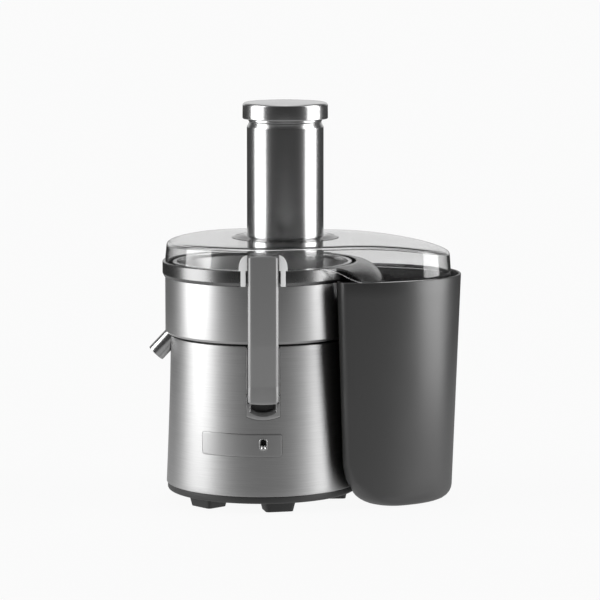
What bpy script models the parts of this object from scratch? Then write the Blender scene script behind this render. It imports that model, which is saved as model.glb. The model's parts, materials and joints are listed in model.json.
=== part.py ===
"""Centrifugal juicer: a steel motor base, a collector with a spinning filter basket, a clear lid with
a wide feed tube, two swinging latch arms and a pulp bin that slides away to the side.

Lengths are in metres. The body's turning axis is the empty "juicer"; every other place is measured
from that axis and from the floor. +Z is up, +X points to the pulp bin and -Y is the front.
"""

import math

import bmesh
import bpy
from mathutils import Matrix
from mathutils import Vector

MM = 0.001

# ---- Driving dimensions ----------------------------------------------------------------------------
GAP = 0.3 * MM                  # between pieces that touch
SLIDE_GAP = 0.6 * MM            # between pieces that move past each other

BODY_TOP_RADIUS = 94.5 * MM     # steel sleeve of the motor base
BODY_HEIGHT = 152.7 * MM
BODY_SPREAD = 5.0 * MM          # how much wider the sleeve is at its foot
BODY_FLARE = 1.4                # how late the sleeve widens towards its foot
SLEEVE_WALL = 1.5 * MM

FOOT_HEIGHT = 10.2 * MM
FOOT_WIDTH = 33.0 * MM
FOOT_DEPTH = 28.0 * MM
FOOT_TAPER = 0.86
FOOT_ANGLES = (0.0, 78.6, 138.6, -138.6, -78.6)
BASE_HEIGHT = 7.2 * MM          # moulded base plate between the feet and the sleeve

BOWL_OVERHANG = 5.5 * MM        # how far the bowl stands out beyond the sleeve
BOWL_HEIGHT = 58.7 * MM
BOWL_WALL = 1.5 * MM
BOWL_SEAM = 2.6 * MM            # shadow gap between the sleeve and the bowl
CHIMNEY_RADIUS = 26.0 * MM      # inside of the bowl's middle opening
CHIMNEY_HEIGHT = 14.2 * MM

BAND_HEIGHT = 16.0 * MM         # dark band round the top of the bowl
BAND_OUT = 2.7 * MM
BAND_IN = 3.5 * MM

LIP_RADIUS = 27.0 * MM          # rounding of the pulp lip
LIP_WALL = 2.0 * MM
LIP_WIDTH_SHARE = 0.71          # half of the lip's width, as a share of the bowl's radius

BASKET_RIM_GAP = 4.2 * MM       # between the spinning rim and the band
BASKET_FLOOR_SHARE = 0.67       # the basket floor's radius, as a share of the bowl's
BASKET_LIFT = 10.5 * MM         # from the chimney's top to the basket's floor
BASKET_WALL = 1.2 * MM

SPOUT_RADIUS = 9.4 * MM
SPOUT_WALL = 1.2 * MM
SPOUT_OUT = 10.0 * MM           # from the bowl's side to the spout's tip
SPOUT_DOWN = 22.3 * MM          # from the bowl's bottom to the spout's tip
SPOUT_SLOPE = math.radians(47.0)

BIN_BEHIND = 9.3 * MM           # the bin's plan: an ellipse hollowed out round the body
BIN_LENGTH = 110.2 * MM         # half of its length at the rim
BIN_DEPTH_SHARE = 0.9           # half of its depth at the rim, as a share of the bowl's radius
BIN_DROP = 13.4 * MM            # from the band's top to the bin's rim
BIN_LENGTH_TAPER = 0.92         # its length at the floor, as a share of the rim's
BIN_DEPTH_TAPER = 0.83
BIN_WALL = 2.5 * MM
BIN_CORNER = 8.0 * MM
BIN_FLOOR_ROUND = 14.0 * MM
BIN_INNER_WALL_DROP = 26.6 * MM

LID_RISE = 22.7 * MM            # from the band's top to the lid's top
LID_END_NARROWER = 28.5 * MM    # the lid's end radius, less than half the bin's depth
LID_END_SHORT = 10.2 * MM       # the lid ends this far inside the bin's end
LID_SIDE_BOW = 4.0 * MM
LID_WALL = 2.5 * MM
LID_FLARE = 1.5 * MM            # how far the lid's side leans in at its top
LID_LEFT_FALL = 3.2 * MM
LID_RIGHT_FALL = 14.0 * MM
LID_SKIRT = 2.3 * MM            # how far the lid hangs below the bin's rim

TUBE_RADIUS = 39.5 * MM
TUBE_ANGLE = math.radians(22.62)
TUBE_RISE = 119.0 * MM          # from the lid's top to the tube's top
TUBE_WALL = 1.2 * MM
TUBE_NECK_STEP = 2.3 * MM
TUBE_NECK_HEIGHT = 6.0 * MM

PUSHER_PLAY = 0.8 * MM          # between the pusher and the tube's neck
PUSHER_WALL = 2.0 * MM
CAP_OUT = 4.5 * MM              # how far the cap stands out beyond the tube
CAP_HEIGHT = 22.6 * MM

ARM_WIDTH = 30.6 * MM
ARM_THICKNESS = 5.0 * MM
ARM_GAP = 1.3 * MM              # between the arm and the band
ARM_ABOVE_BAND = 15.6 * MM
ARM_BELOW_PIVOT = 8.0 * MM
PIVOT_PROUD = 2.89 * MM         # from the sleeve, at the recess's side, out to the pivot
PIVOT_DROP = 49.7 * MM          # from the sleeve's top down to the pivot
PIN_RADIUS = 2.0 * MM
KNUCKLE_RADIUS = 5.6 * MM
RECESS_SIDE_GAP = 0.85 * MM
RECESS_DROP = 24.0 * MM         # from the pivot down to the recess's floor
RECESS_DEPTH = 12.0 * MM        # from the pivot in to the recess's back
RECESS_WALL = 0.9 * MM

PANEL_LEFT_SHARE = 0.65         # the panel's sides, as shares of the sleeve's top radius
PANEL_RIGHT_SHARE = 0.2
PANEL_RISE = 41.0 * MM          # from the sleeve's foot to the panel
PANEL_HEIGHT = 22.8 * MM
PANEL_CORNER = 2.5 * MM
TOGGLE_RISE = 12.5 * MM         # from the panel's lower edge to the lever
TOGGLE_OUT = 10.1 * MM          # the lever's tip and pivot, from the sleeve's top radius
TOGGLE_IN = 4.5 * MM
TOGGLE_DROP = math.radians(14.8)

SHAFT_RADIUS = 5.0 * MM
STATOR_RADIUS = 48.0 * MM
ROTOR_RADIUS = 25.0 * MM
BRACKET_RADIUS = 62.0 * MM
BEARING_RADIUS = 11.0 * MM
COMMUTATOR_RADIUS = 13.0 * MM
FAN_RADIUS = 42.0 * MM
TIE_ROD_REACH = 55.0 * MM
SCREW_ANGLES = (45, 135, 225, 315)

BIG_STEPS = 40                  # facets round the large and the small turned pieces
MID_STEPS = 24
SMALL_STEPS = 14

# ---- Places that follow from them ------------------------------------------------------------------
BASE_BOTTOM = FOOT_HEIGHT + GAP
BODY_BOTTOM = BASE_BOTTOM + BASE_HEIGHT + GAP
BODY_TOP = BODY_BOTTOM + BODY_HEIGHT
BODY_BOTTOM_RADIUS = BODY_TOP_RADIUS + BODY_SPREAD
DECK_TOP = BODY_TOP - 2.7 * MM
SLEEVE_STOPS = (0.0, 0.12, 0.27, 0.45, 0.7, 1.0)
FOOT_REACH = BODY_BOTTOM_RADIUS - 11.5 * MM

BOWL_RADIUS = BODY_TOP_RADIUS + BOWL_OVERHANG
BOWL_BOTTOM = BODY_TOP + BOWL_SEAM
BOWL_TOP = BOWL_BOTTOM + BOWL_HEIGHT
CHIMNEY_TOP = BOWL_BOTTOM + CHIMNEY_HEIGHT
BAND_RADIUS = BOWL_RADIUS + BAND_OUT
BAND_INNER_RADIUS = BOWL_RADIUS - BAND_IN
BAND_TOP = BOWL_TOP + BAND_HEIGHT
LIP_HALF_WIDTH = BOWL_RADIUS * LIP_WIDTH_SHARE
BASKET_RIM_RADIUS = BAND_INNER_RADIUS - BASKET_RIM_GAP
BASKET_FLOOR_RADIUS = BOWL_RADIUS * BASKET_FLOOR_SHARE
BASKET_BOTTOM = CHIMNEY_TOP + BASKET_LIFT
BASKET_TOP = BAND_TOP - 0.5 * MM
COUPLING_RADIUS = CHIMNEY_RADIUS - 9.0 * MM
SPOUT_TIP_X = -(BOWL_RADIUS + SPOUT_OUT)
SPOUT_TIP_Z = BOWL_BOTTOM - SPOUT_DOWN

BIN_HOLLOW = BAND_RADIUS + 1.6 * MM
BIN_CENTRE_X = BIN_HOLLOW - BIN_BEHIND
BIN_DEPTH = BOWL_RADIUS * BIN_DEPTH_SHARE
BIN_HEIGHT = BAND_TOP - BIN_DROP
BIN_INNER_WALL_TOP = BIN_HEIGHT - BIN_INNER_WALL_DROP
BIN_DIP_HALF_WIDTH = BIN_DEPTH - 10.0 * MM
BIN_REACH = BIN_CENTRE_X + BIN_LENGTH

LID_END_RADIUS = BIN_DEPTH - LID_END_NARROWER
LID_END_X = BIN_REACH - LID_END_SHORT - LID_END_RADIUS
LID_TOP = BAND_TOP + LID_RISE
LID_SKIRT_BOTTOM = BIN_HEIGHT - LID_SKIRT
LID_DESCENT = (BAND_RADIUS - 42.7 * MM, BAND_RADIUS + 2.3 * MM)     # where its edge goes down
TUBE_OFFSET = BASKET_FLOOR_RADIUS - 1.5 * MM - TUBE_RADIUS
TUBE_X = TUBE_OFFSET * math.cos(TUBE_ANGLE)
TUBE_Y = TUBE_OFFSET * math.sin(TUBE_ANGLE)
TUBE_BOTTOM = BASKET_BOTTOM + 8.0 * MM
TUBE_TOP = LID_TOP + TUBE_RISE
PUSHER_RADIUS = TUBE_RADIUS - TUBE_NECK_STEP - TUBE_WALL - PUSHER_PLAY
CAP_RADIUS = TUBE_RADIUS + CAP_OUT

PIVOT_Z = BODY_TOP - PIVOT_DROP
ARM_FRONT = BAND_RADIUS + ARM_GAP + ARM_THICKNESS
ARM_TOP = BAND_TOP + ARM_ABOVE_BAND
ARM_BOTTOM = PIVOT_Z - ARM_BELOW_PIVOT
RECESS_WIDTH = ARM_WIDTH + 2 * RECESS_SIDE_GAP
PIVOT_REACH = math.sqrt(BODY_TOP_RADIUS ** 2 - (RECESS_WIDTH / 2) ** 2) + PIVOT_PROUD
RECESS_BOTTOM = PIVOT_Z - RECESS_DROP
RECESS_BACK = PIVOT_REACH - RECESS_DEPTH

PANEL_LEFT = -BODY_TOP_RADIUS * PANEL_LEFT_SHARE
PANEL_RIGHT = BODY_TOP_RADIUS * PANEL_RIGHT_SHARE
PANEL_BOTTOM = BODY_BOTTOM + PANEL_RISE
PANEL_TOP = PANEL_BOTTOM + PANEL_HEIGHT
TOGGLE_Z = PANEL_BOTTOM + TOGGLE_RISE
TOGGLE_REACH = BODY_TOP_RADIUS + TOGGLE_OUT
TOGGLE_PIVOT_REACH = BODY_TOP_RADIUS - TOGGLE_IN

SPOUT_REACH = -SPOUT_TIP_X + SPOUT_RADIUS * math.sin(SPOUT_SLOPE)
AXIS_X = (SPOUT_REACH - BIN_REACH) / 2      # puts the origin under the middle of the whole object


# ---- Scene, materials and shared shapes ------------------------------------------------------------
for old in list(bpy.data.objects):
    bpy.data.objects.remove(old, do_unlink=True)

PARTS = bpy.data.collections.new("centrifugal_juicer")
CUTTERS = bpy.data.collections.new("cutters")
bpy.context.scene.collection.children.link(PARTS)
bpy.context.scene.collection.children.link(CUTTERS)


def finish(name, grey, metallic, roughness):
    """A material of one neutral shade."""
    material = bpy.data.materials.new(name)
    material.use_nodes = True
    shader = material.node_tree.nodes["Principled BSDF"]
    shader.inputs["Base Color"].default_value = (grey, grey, grey, 1.0)
    shader.inputs["Metallic"].default_value = metallic
    shader.inputs["Roughness"].default_value = roughness
    return material


BRUSHED = finish("brushed_steel", 0.55, 1.0, 0.32)
POLISHED = finish("polished_steel", 0.65, 1.0, 0.12)
DARK_CHROME = finish("dark_chrome", 0.08, 1.0, 0.12)
SATIN_METAL = finish("satin_metal", 0.35, 1.0, 0.4)
CLEAR = finish("clear_plastic", 0.75, 0.0, 0.08)
DARK_PLASTIC = finish("dark_plastic", 0.045, 0.0, 0.45)
RUBBER = finish("rubber", 0.02, 0.0, 0.8)
IRON = finish("iron", 0.2, 1.0, 0.5)
COPPER = finish("copper", 0.3, 1.0, 0.35)


def empty(name, at=(0, 0, 0), parent=None):
    """A joint or assembly point, placed in the body's frame."""
    point = bpy.data.objects.new(name, None)
    point.empty_display_size = 20 * MM
    PARTS.objects.link(point)
    point.location = at
    if parent is not None:
        point.parent = parent
        point.location = Vector(at) - body_place(parent)
    return point


def body_place(point):
    """Where an empty is, measured from the juicer's own axis."""
    place = Vector((0, 0, 0))
    while point is not None and point.name != "juicer":
        place += point.location
        point = point.parent
    return place


JUICER = empty("juicer", (AXIS_X, 0, 0))
ROTOR = empty("rotor_axis", parent=JUICER)
COLLECTOR = empty("collector_seat", (0, 0, BOWL_BOTTOM), JUICER)
BASKET = empty("basket_axis", (0, 0, BASKET_BOTTOM), COLLECTOR)
LID = empty("lid_seat", (0, 0, BAND_TOP), COLLECTOR)
PUSHER = empty("pusher_axis", (TUBE_X, TUBE_Y, TUBE_BOTTOM), LID)
BIN = empty("bin_seat", (BIN_CENTRE_X, 0, 0), JUICER)


def add(name, mesh, material, at=(0, 0, 0), parent=JUICER, turn=(0, 0, 0)):
    """Puts a mesh into the scene as a sub-part, or as a cutter where it has no material."""
    piece = bpy.data.objects.new(name, mesh)
    piece.parent = parent
    piece.location = Vector(at) - body_place(parent)
    piece.rotation_euler = turn
    if material is None:
        CUTTERS.objects.link(piece)
        piece.hide_render = True
        piece.display_type = "WIRE"
    else:
        PARTS.objects.link(piece)
        mesh.materials.append(material)
    return piece


def smooth(mesh):
    """Shades a mesh round, with its real edges kept sharp."""
    mesh.shade_smooth()
    mesh.set_sharp_from_angle(angle=math.radians(35))


def turned(name, profile, material, steps=BIG_STEPS, at=(0, 0, 0), parent=JUICER, turn=(0, 0, 0)):
    """A lathe shape: (radius, height) points, the outer side going down, turned about Z."""
    mesh = bpy.data.meshes.new(name)
    count = len(profile)
    edges = [(i, i + 1) for i in range(count - 1)]
    if profile[0][0] > 0:
        edges.append((count - 1, 0))
    mesh.from_pydata([(r, 0, z) for r, z in profile], edges, [])
    piece = add(name, mesh, material, at, parent, turn)
    screw = piece.modifiers.new("turn", "SCREW")
    screw.steps = steps
    screw.render_steps = steps
    screw.use_merge_vertices = True
    screw.merge_threshold = 0.00002
    screw.use_smooth_shade = True
    return piece


def ring(inner, outer, low, high):
    """Profile of a plain ring or disc."""
    return [(inner, high), (outer, high), (outer, low), (inner, low)]


def box(name, low, high, material, parent=JUICER, turn=(0, 0, 0), at=(0, 0, 0), rounding=0.0):
    """A block between two corners, given round the point `at`."""
    frame = bmesh.new()
    bmesh.ops.create_cube(frame, size=1.0)
    size = [b - a for a, b in zip(low, high)]
    middle = [(a + b) / 2 for a, b in zip(low, high)]
    bmesh.ops.transform(frame, matrix=Matrix.Translation(middle) @ Matrix.Diagonal((*size, 1)),
                        verts=frame.verts)
    mesh = bpy.data.meshes.new(name)
    frame.to_mesh(mesh)
    frame.free()
    piece = add(name, mesh, material, at, parent, turn)
    if rounding:
        bevel = piece.modifiers.new("rounding", "BEVEL")
        bevel.width = rounding
        bevel.segments = 2
    return piece


def rod(name, start, end, radius, material, steps=SMALL_STEPS, parent=JUICER, at=(0, 0, 0),
        turn=(0, 0, 0), end_radius=None):
    """A round bar or a cone from one point to another, given round the point `at`."""
    start = Vector(start)
    along = Vector(end) - start
    frame = bmesh.new()
    bmesh.ops.create_cone(frame, cap_ends=True, segments=steps, radius1=radius,
                          radius2=radius if end_radius is None else end_radius, depth=along.length)
    place = Matrix.Translation(start + along / 2) @ along.to_track_quat("Z", "Y").to_matrix().to_4x4()
    bmesh.ops.transform(frame, matrix=place, verts=frame.verts)
    mesh = bpy.data.meshes.new(name)
    frame.to_mesh(mesh)
    frame.free()
    smooth(mesh)
    return add(name, mesh, material, at, parent, turn)


PLANES = {
    "X": Matrix(((0, 0, 1), (1, 0, 0), (0, 1, 0))),     # outline in Y and Z, thickness along X
    "Y": Matrix(((1, 0, 0), (0, 0, -1), (0, 1, 0))),    # outline in X and Z, thickness along Y
    "Z": Matrix.Identity(3),
}


def plate(name, outline, along, low, high, material, parent=JUICER, at=(0, 0, 0), turn=(0, 0, 0),
          rounding=0.0):
    """A flat outline with thickness: `along` names the axis that the thickness lies on."""
    flat = bpy.data.curves.new(name, "CURVE")
    flat.dimensions = "2D"
    flat.fill_mode = "BOTH"
    flat.extrude = (high - low) / 2
    spline = flat.splines.new("POLY")
    spline.points.add(len(outline) - 1)
    for point, (a, b) in zip(spline.points, outline):
        point.co = (a, b, 0, 1)
    spline.use_cyclic_u = True
    guide = bpy.data.objects.new(name + "_outline", flat)
    CUTTERS.objects.link(guide)
    bpy.context.view_layer.update()
    mesh = bpy.data.meshes.new_from_object(guide.evaluated_get(bpy.context.evaluated_depsgraph_get()))
    bpy.data.objects.remove(guide)
    frame = bmesh.new()
    frame.from_mesh(mesh)
    bmesh.ops.remove_doubles(frame, verts=frame.verts, dist=0.000005)
    shift = {"X": ((low + high) / 2, 0, 0), "Y": (0, (low + high) / 2, 0), "Z": (0, 0, (low + high) / 2)}
    place = Matrix.Translation(shift[along]) @ PLANES[along].to_4x4()
    bmesh.ops.transform(frame, matrix=place, verts=frame.verts)
    bmesh.ops.recalc_face_normals(frame, faces=frame.faces)
    frame.to_mesh(mesh)
    frame.free()
    piece = add(name, mesh, material, at, parent, turn)
    if rounding:
        bevel = piece.modifiers.new("rounding", "BEVEL")
        bevel.width = rounding
        bevel.segments = 2
        bevel.limit_method = "ANGLE"
    return piece


def skin(name, vertices, faces, material, parent):
    """A closed body of points and faces, given in the body's frame."""
    mesh = bpy.data.meshes.new(name)
    mesh.from_pydata(vertices, [], faces)
    frame = bmesh.new()
    frame.from_mesh(mesh)
    bmesh.ops.recalc_face_normals(frame, faces=frame.faces)
    frame.to_mesh(mesh)
    frame.free()
    smooth(mesh)
    return add(name, mesh, material, body_place(parent), parent)


def cut(piece, cutter, operation="DIFFERENCE"):
    """A live Boolean between a sub-part and a cutter."""
    boolean = piece.modifiers.new(cutter.name, "BOOLEAN")
    boolean.operation = operation
    boolean.solver = "EXACT"
    boolean.object = cutter


def arc(centre, radius, first, last, count):
    """Points on an arc, angles in degrees from the first to the last."""
    angles = [math.radians(first + (last - first) * i / count) for i in range(count + 1)]
    return [(centre[0] + radius * math.cos(a), centre[1] + radius * math.sin(a)) for a in angles]


def rounded_rectangle(left, right, bottom, top, corner, count=3):
    """Outline of a rectangle with round corners."""
    centres = ((right - corner, top - corner), (left + corner, top - corner),
               (left + corner, bottom + corner), (right - corner, bottom + corner))
    outline = []
    for quarter, centre in enumerate(centres):
        outline += arc(centre, corner, 90 * quarter, 90 * (quarter + 1), count)
    return outline


def around(angle, reach):
    """A point in plan at an angle in degrees from +X."""
    return reach * math.cos(math.radians(angle)), reach * math.sin(math.radians(angle))


def sleeve_radius(z):
    """Outer radius of the motor base, which flares slowly towards the floor."""
    share = min(max((BODY_TOP - z) / (BODY_TOP - BODY_BOTTOM), 0.0), 1.0)
    return BODY_TOP_RADIUS + (BODY_BOTTOM_RADIUS - BODY_TOP_RADIUS) * share ** BODY_FLARE


def sleeve_side(inset=0.0, low=BODY_BOTTOM, high=BODY_TOP):
    """Points down the motor base's side, set in from its surface."""
    heights = [high + (low - high) * stop for stop in SLEEVE_STOPS]
    return [(sleeve_radius(z) - inset, z) for z in heights]


# ---- Base plate and feet ---------------------------------------------------------------------------
BASE_FLOOR = BASE_BOTTOM + 3.0 * MM
BASE_TOP = BODY_BOTTOM - GAP
RING_WALL_RADIUS = 54.0 * MM
RING_WALL_TOP = BASE_BOTTOM + 15.2 * MM


def base_plate():
    """A moulded dish that closes the sleeve, with a ring wall that carries the motor."""
    outer = BODY_BOTTOM_RADIUS - 1.2 * MM
    plate_piece = turned("base_plate", [
        (0, BASE_FLOOR), (RING_WALL_RADIUS - 3 * MM, BASE_FLOOR), (RING_WALL_RADIUS - 3 * MM, RING_WALL_TOP),
        (RING_WALL_RADIUS, RING_WALL_TOP), (RING_WALL_RADIUS, BASE_FLOOR), (outer - 4 * MM, BASE_FLOOR),
        (outer - 4 * MM, BASE_TOP), (outer, BASE_TOP), (outer, BASE_BOTTOM + 2.2 * MM),
        (outer - 2.2 * MM, BASE_BOTTOM), (0, BASE_BOTTOM)], DARK_PLASTIC)
    slots = 8
    for index in range(slots):
        angle = 2 * math.pi * index / slots
        slot = box(f"vent_cutter_{index + 1}", (16 * MM, -2.2 * MM, BASE_BOTTOM - MM),
                   (42 * MM, 2.2 * MM, BASE_FLOOR + MM), None, turn=(0, 0, angle))
        cut(plate_piece, slot)
    for number, angle in enumerate(SCREW_ANGLES, 1):
        x, y = around(angle, TIE_ROD_REACH)
        hole = rod(f"screw_hole_{number}", (x, y, 0), (x, y, RING_WALL_TOP + MM), 2.4 * MM, None)
        cut(plate_piece, hole)


def base_screws():
    """Four pan-head screws that come up through the base plate under the motor."""
    for number, angle in enumerate(SCREW_ANGLES, 1):
        x, y = around(angle, TIE_ROD_REACH)
        turned(f"base_screw_{number}", [
            (0, RING_WALL_TOP - 1.5 * MM), (2.1 * MM, RING_WALL_TOP - 1.5 * MM),
            (2.1 * MM, BASE_BOTTOM - GAP),
            (4.2 * MM, BASE_BOTTOM - GAP), (3.6 * MM, BASE_BOTTOM - 2.2 * MM), (0, BASE_BOTTOM - 2.4 * MM)],
            POLISHED, 12, at=(x, y, 0))


def feet():
    """Tapered rubber blocks under the base plate."""
    for number, angle in enumerate(FOOT_ANGLES, 1):
        x, y = around(angle, FOOT_REACH - FOOT_DEPTH / 2)
        frame = bmesh.new()
        bmesh.ops.create_cone(frame, cap_ends=True, segments=4, radius1=FOOT_TAPER * math.sqrt(0.5),
                              radius2=math.sqrt(0.5), depth=FOOT_HEIGHT)
        bmesh.ops.transform(frame, matrix=Matrix.Translation((0, 0, FOOT_HEIGHT / 2))
                            @ Matrix.Diagonal((FOOT_DEPTH, FOOT_WIDTH, 1, 1))
                            @ Matrix.Rotation(math.radians(45), 4, "Z"), verts=frame.verts)
        mesh = bpy.data.meshes.new(f"foot_{number}")
        frame.to_mesh(mesh)
        frame.free()
        foot = add(f"foot_{number}", mesh, RUBBER, (x, y, 0), turn=(0, 0, math.radians(angle)))
        bevel = foot.modifiers.new("rounding", "BEVEL")
        bevel.width = 1.2 * MM
        bevel.segments = 1


# ---- Motor base: sleeve, deck, latch recesses, panel, switch and cord inlet ------------------------
def spout_slot(name):
    """The open slot at the sleeve's top edge that the juice spout drops into."""
    reach = SPOUT_RADIUS / math.cos(SPOUT_SLOPE)
    low = SPOUT_TIP_Z + (BODY_TOP_RADIUS + SPOUT_TIP_X) * -math.tan(SPOUT_SLOPE) - reach - SLIDE_GAP
    half = SPOUT_RADIUS + SLIDE_GAP + 0.4 * MM
    return box(name, (-BODY_BOTTOM_RADIUS - 4 * MM, -half, low - 1.0 * MM),
               (-RECESS_BACK + 16 * MM, half, BOWL_BOTTOM + 4 * MM), None)


def motor_housing(slot, recess_windows, panel_window, inlet_hole):
    """The brushed sleeve, rolled from sheet, with its windows."""
    sleeve = turned("motor_housing", sleeve_side() + sleeve_side(SLEEVE_WALL)[::-1], BRUSHED)
    for cutter in (slot, *recess_windows, panel_window, inlet_hole):
        cut(sleeve, cutter)


def top_deck(slot, recess_windows):
    """The moulded deck under the collector, with its locating ring and the hub round the shaft."""
    edge = BODY_TOP_RADIUS - SLEEVE_WALL - GAP
    hub = CHIMNEY_RADIUS - 0.6 * MM
    seal = BEARING_RADIUS + 1 * MM
    wall = 2.5 * MM
    under = DECK_TOP - wall
    hub_top = CHIMNEY_TOP - 1.5 * MM
    seat = BOWL_BOTTOM - GAP
    deck = turned("top_deck", [
        (seal, hub_top), (hub, hub_top), (hub, DECK_TOP), (edge - 9 * MM, DECK_TOP), (edge - 9 * MM, seat),
        (edge - 5 * MM, seat), (edge - 5 * MM, DECK_TOP), (edge, DECK_TOP), (edge, under - 9 * MM),
        (edge - wall, under - 9 * MM), (edge - wall, under), (hub - wall, under),
        (hub - wall, hub_top - wall), (seal, hub_top - wall)], DARK_PLASTIC)
    for cutter in (slot, *recess_windows):
        cut(deck, cutter)


def panel_and_switch():
    """A flush curved panel with an oval bezel, the switch behind it and its bat lever."""
    depth = (-BODY_BOTTOM_RADIUS - 8 * MM, -0.7 * BODY_TOP_RADIUS)
    outline = rounded_rectangle(PANEL_LEFT, PANEL_RIGHT, PANEL_BOTTOM, PANEL_TOP, PANEL_CORNER)
    window = plate("panel_window", rounded_rectangle(
        PANEL_LEFT - GAP, PANEL_RIGHT + GAP, PANEL_BOTTOM - GAP, PANEL_TOP + GAP, PANEL_CORNER + GAP),
        "Y", *depth, None)
    panel = plate("control_panel", outline, "Y", *depth, SATIN_METAL)
    skin = turned("panel_skin", sleeve_side() + sleeve_side(SLEEVE_WALL)[::-1], None)
    cut(panel, skin, "INTERSECT")

    half_width = 4.3 * MM
    half_height = 6.8 * MM
    rim = 1.3 * MM
    face = sleeve_radius(TOGGLE_Z)
    centre = (0, 0, TOGGLE_Z)
    hole = plate("bezel_hole", rounded_rectangle(
        -half_width - GAP, half_width + GAP, -half_height - GAP, half_height + GAP, half_width, 5),
        "Y", *depth, None, at=centre)
    cut(panel, hole)
    bezel = plate("toggle_bezel", rounded_rectangle(
        -half_width, half_width, -half_height, half_height, half_width - 0.1 * MM, 5),
        "Y", -face - 0.8 * MM, -face + 3.5 * MM, POLISHED, at=centre)
    opening = plate("bezel_opening", rounded_rectangle(
        -half_width + rim, half_width - rim, -half_height + rim, half_height - rim,
        half_width - rim - 0.1 * MM, 5), "Y", *depth, None, at=centre)
    cut(bezel, opening)

    pivot = (0, -TOGGLE_PIVOT_REACH, TOGGLE_Z)
    lever_length = (TOGGLE_REACH - TOGGLE_PIVOT_REACH) / math.cos(TOGGLE_DROP)
    tip = 2.75 * MM
    hinge = empty("toggle_pivot", pivot, JUICER)
    turned("toggle_lever", [
        (0, lever_length), (1.4 * MM, lever_length - 0.3 * MM), (2.4 * MM, lever_length - 1.2 * MM),
        (tip, lever_length - 3 * MM), (tip - 0.2 * MM, lever_length - 6 * MM), (1.3 * MM, 0.6 * MM),
        (0, 0.6 * MM)],
        POLISHED, SMALL_STEPS, at=pivot, parent=hinge, turn=(math.pi / 2 + TOGGLE_DROP, 0, 0))
    box("switch_body", (-6.5 * MM, -TOGGLE_PIVOT_REACH + GAP, TOGGLE_Z - 10 * MM),
        (6.5 * MM, -TOGGLE_PIVOT_REACH + 20 * MM, TOGGLE_Z + 10 * MM), DARK_PLASTIC,
        rounding=0.8 * MM)
    return window


def cord_inlet():
    """A collar low at the back that the supply cord would pass through."""
    height = 32.0 * MM
    barrel = 8.0 * MM
    bore = 3.6 * MM
    face = sleeve_radius(height) + 0.9 * MM
    hole = rod("inlet_hole", (0, face - 14 * MM, height), (0, face + 6 * MM, height), barrel + GAP, None)
    turned("cord_inlet", [
        (bore, 3.0 * MM), (barrel + 1.2 * MM, 3.0 * MM), (barrel + 2.4 * MM, 1.8 * MM), (barrel + 2.4 * MM, 0),
        (barrel, 0), (barrel, -10 * MM), (bore, -10 * MM)], DARK_PLASTIC, SMALL_STEPS,
        at=(0, face, height), turn=(-math.pi / 2, 0, 0))
    return hole


def latch(side, turn):
    """One recess in the sleeve, with its pin and the arm that swings down and out on it."""
    half = RECESS_WIDTH / 2
    outer = half + RECESS_WALL
    spin = Matrix.Rotation(turn, 3, "Z")
    turned_about = (0, 0, turn)
    outside = -BODY_BOTTOM_RADIUS - 6 * MM
    window = box(f"recess_window_{side}", (-outer - GAP, outside, RECESS_BOTTOM - RECESS_WALL - GAP),
                 (outer + GAP, -RECESS_BACK + RECESS_WALL + GAP, BOWL_BOTTOM + 5 * MM), None,
                  turn=turned_about)
    recess = box(f"latch_recess_{side}", (-outer, outside, RECESS_BOTTOM - RECESS_WALL),
                 (outer, -RECESS_BACK + RECESS_WALL, BODY_TOP - 1 * MM), SATIN_METAL, turn=turned_about)
    core = turned(f"recess_core_{side}", [(0, BODY_TOP), *sleeve_side(), (0, BODY_BOTTOM)], None)
    cut(recess, core, "INTERSECT")
    scoop = RECESS_BOTTOM + 11 * MM
    pocket = plate(f"recess_pocket_{side}", [
        (outside - 2 * MM, RECESS_BOTTOM), (-BODY_BOTTOM_RADIUS + 0.5 * MM, RECESS_BOTTOM),
        (-RECESS_BACK, scoop), (-RECESS_BACK, BODY_TOP + 5 * MM), (outside - 2 * MM, BODY_TOP + 5 * MM)],
        "X", -half, half, None, turn=turned_about)
    cut(recess, pocket)

    pivot = spin @ Vector((0, -PIVOT_REACH, PIVOT_Z))
    hinge = empty(f"latch_pivot_{side}", pivot, JUICER)
    bore = rod(f"pin_bore_{side}", (-outer - 2 * MM, 0, 0), (outer + 2 * MM, 0, 0), PIN_RADIUS + GAP, None,
               at=pivot, turn=turned_about)
    cut(recess, bore)
    rod(f"latch_pin_{side}", (-outer, 0, 0), (outer, 0, 0), PIN_RADIUS, POLISHED, 16, at=pivot,
        turn=turned_about)

    face = PIVOT_REACH - ARM_FRONT
    back = face + ARM_THICKNESS
    low_face = face + 2.6 * MM
    top = ARM_TOP - PIVOT_Z
    bottom = ARM_BOTTOM - PIVOT_Z
    bend = BOWL_BOTTOM - PIVOT_Z
    outline = [(face, top - 1.5 * MM), (face, bend), (low_face, 0.2 * bend), (low_face, bottom + 1.5 * MM),
               (low_face + 1.5 * MM, bottom), (-2 * MM, bottom)]
    outline += arc((0, 0), KNUCKLE_RADIUS, -60, 110, 8)
    outline += [(-3.2 * MM, 9 * MM), (back + 2.6 * MM, 16 * MM), (back, bend), (back, top)]
    outline += [(face + 1.5 * MM, top)]
    arm = plate(f"latch_arm_{side}", outline, "X", -ARM_WIDTH / 2, ARM_WIDTH / 2, SATIN_METAL, hinge,
                at=pivot, turn=turned_about)
    cut(arm, bore)
    return window


def motor_base():
    windows = [latch("front", 0.0), latch("rear", math.pi)]
    slot = spout_slot("spout_slot")
    motor_housing(slot, windows, panel_and_switch(), cord_inlet())
    top_deck(slot, windows)


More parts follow.
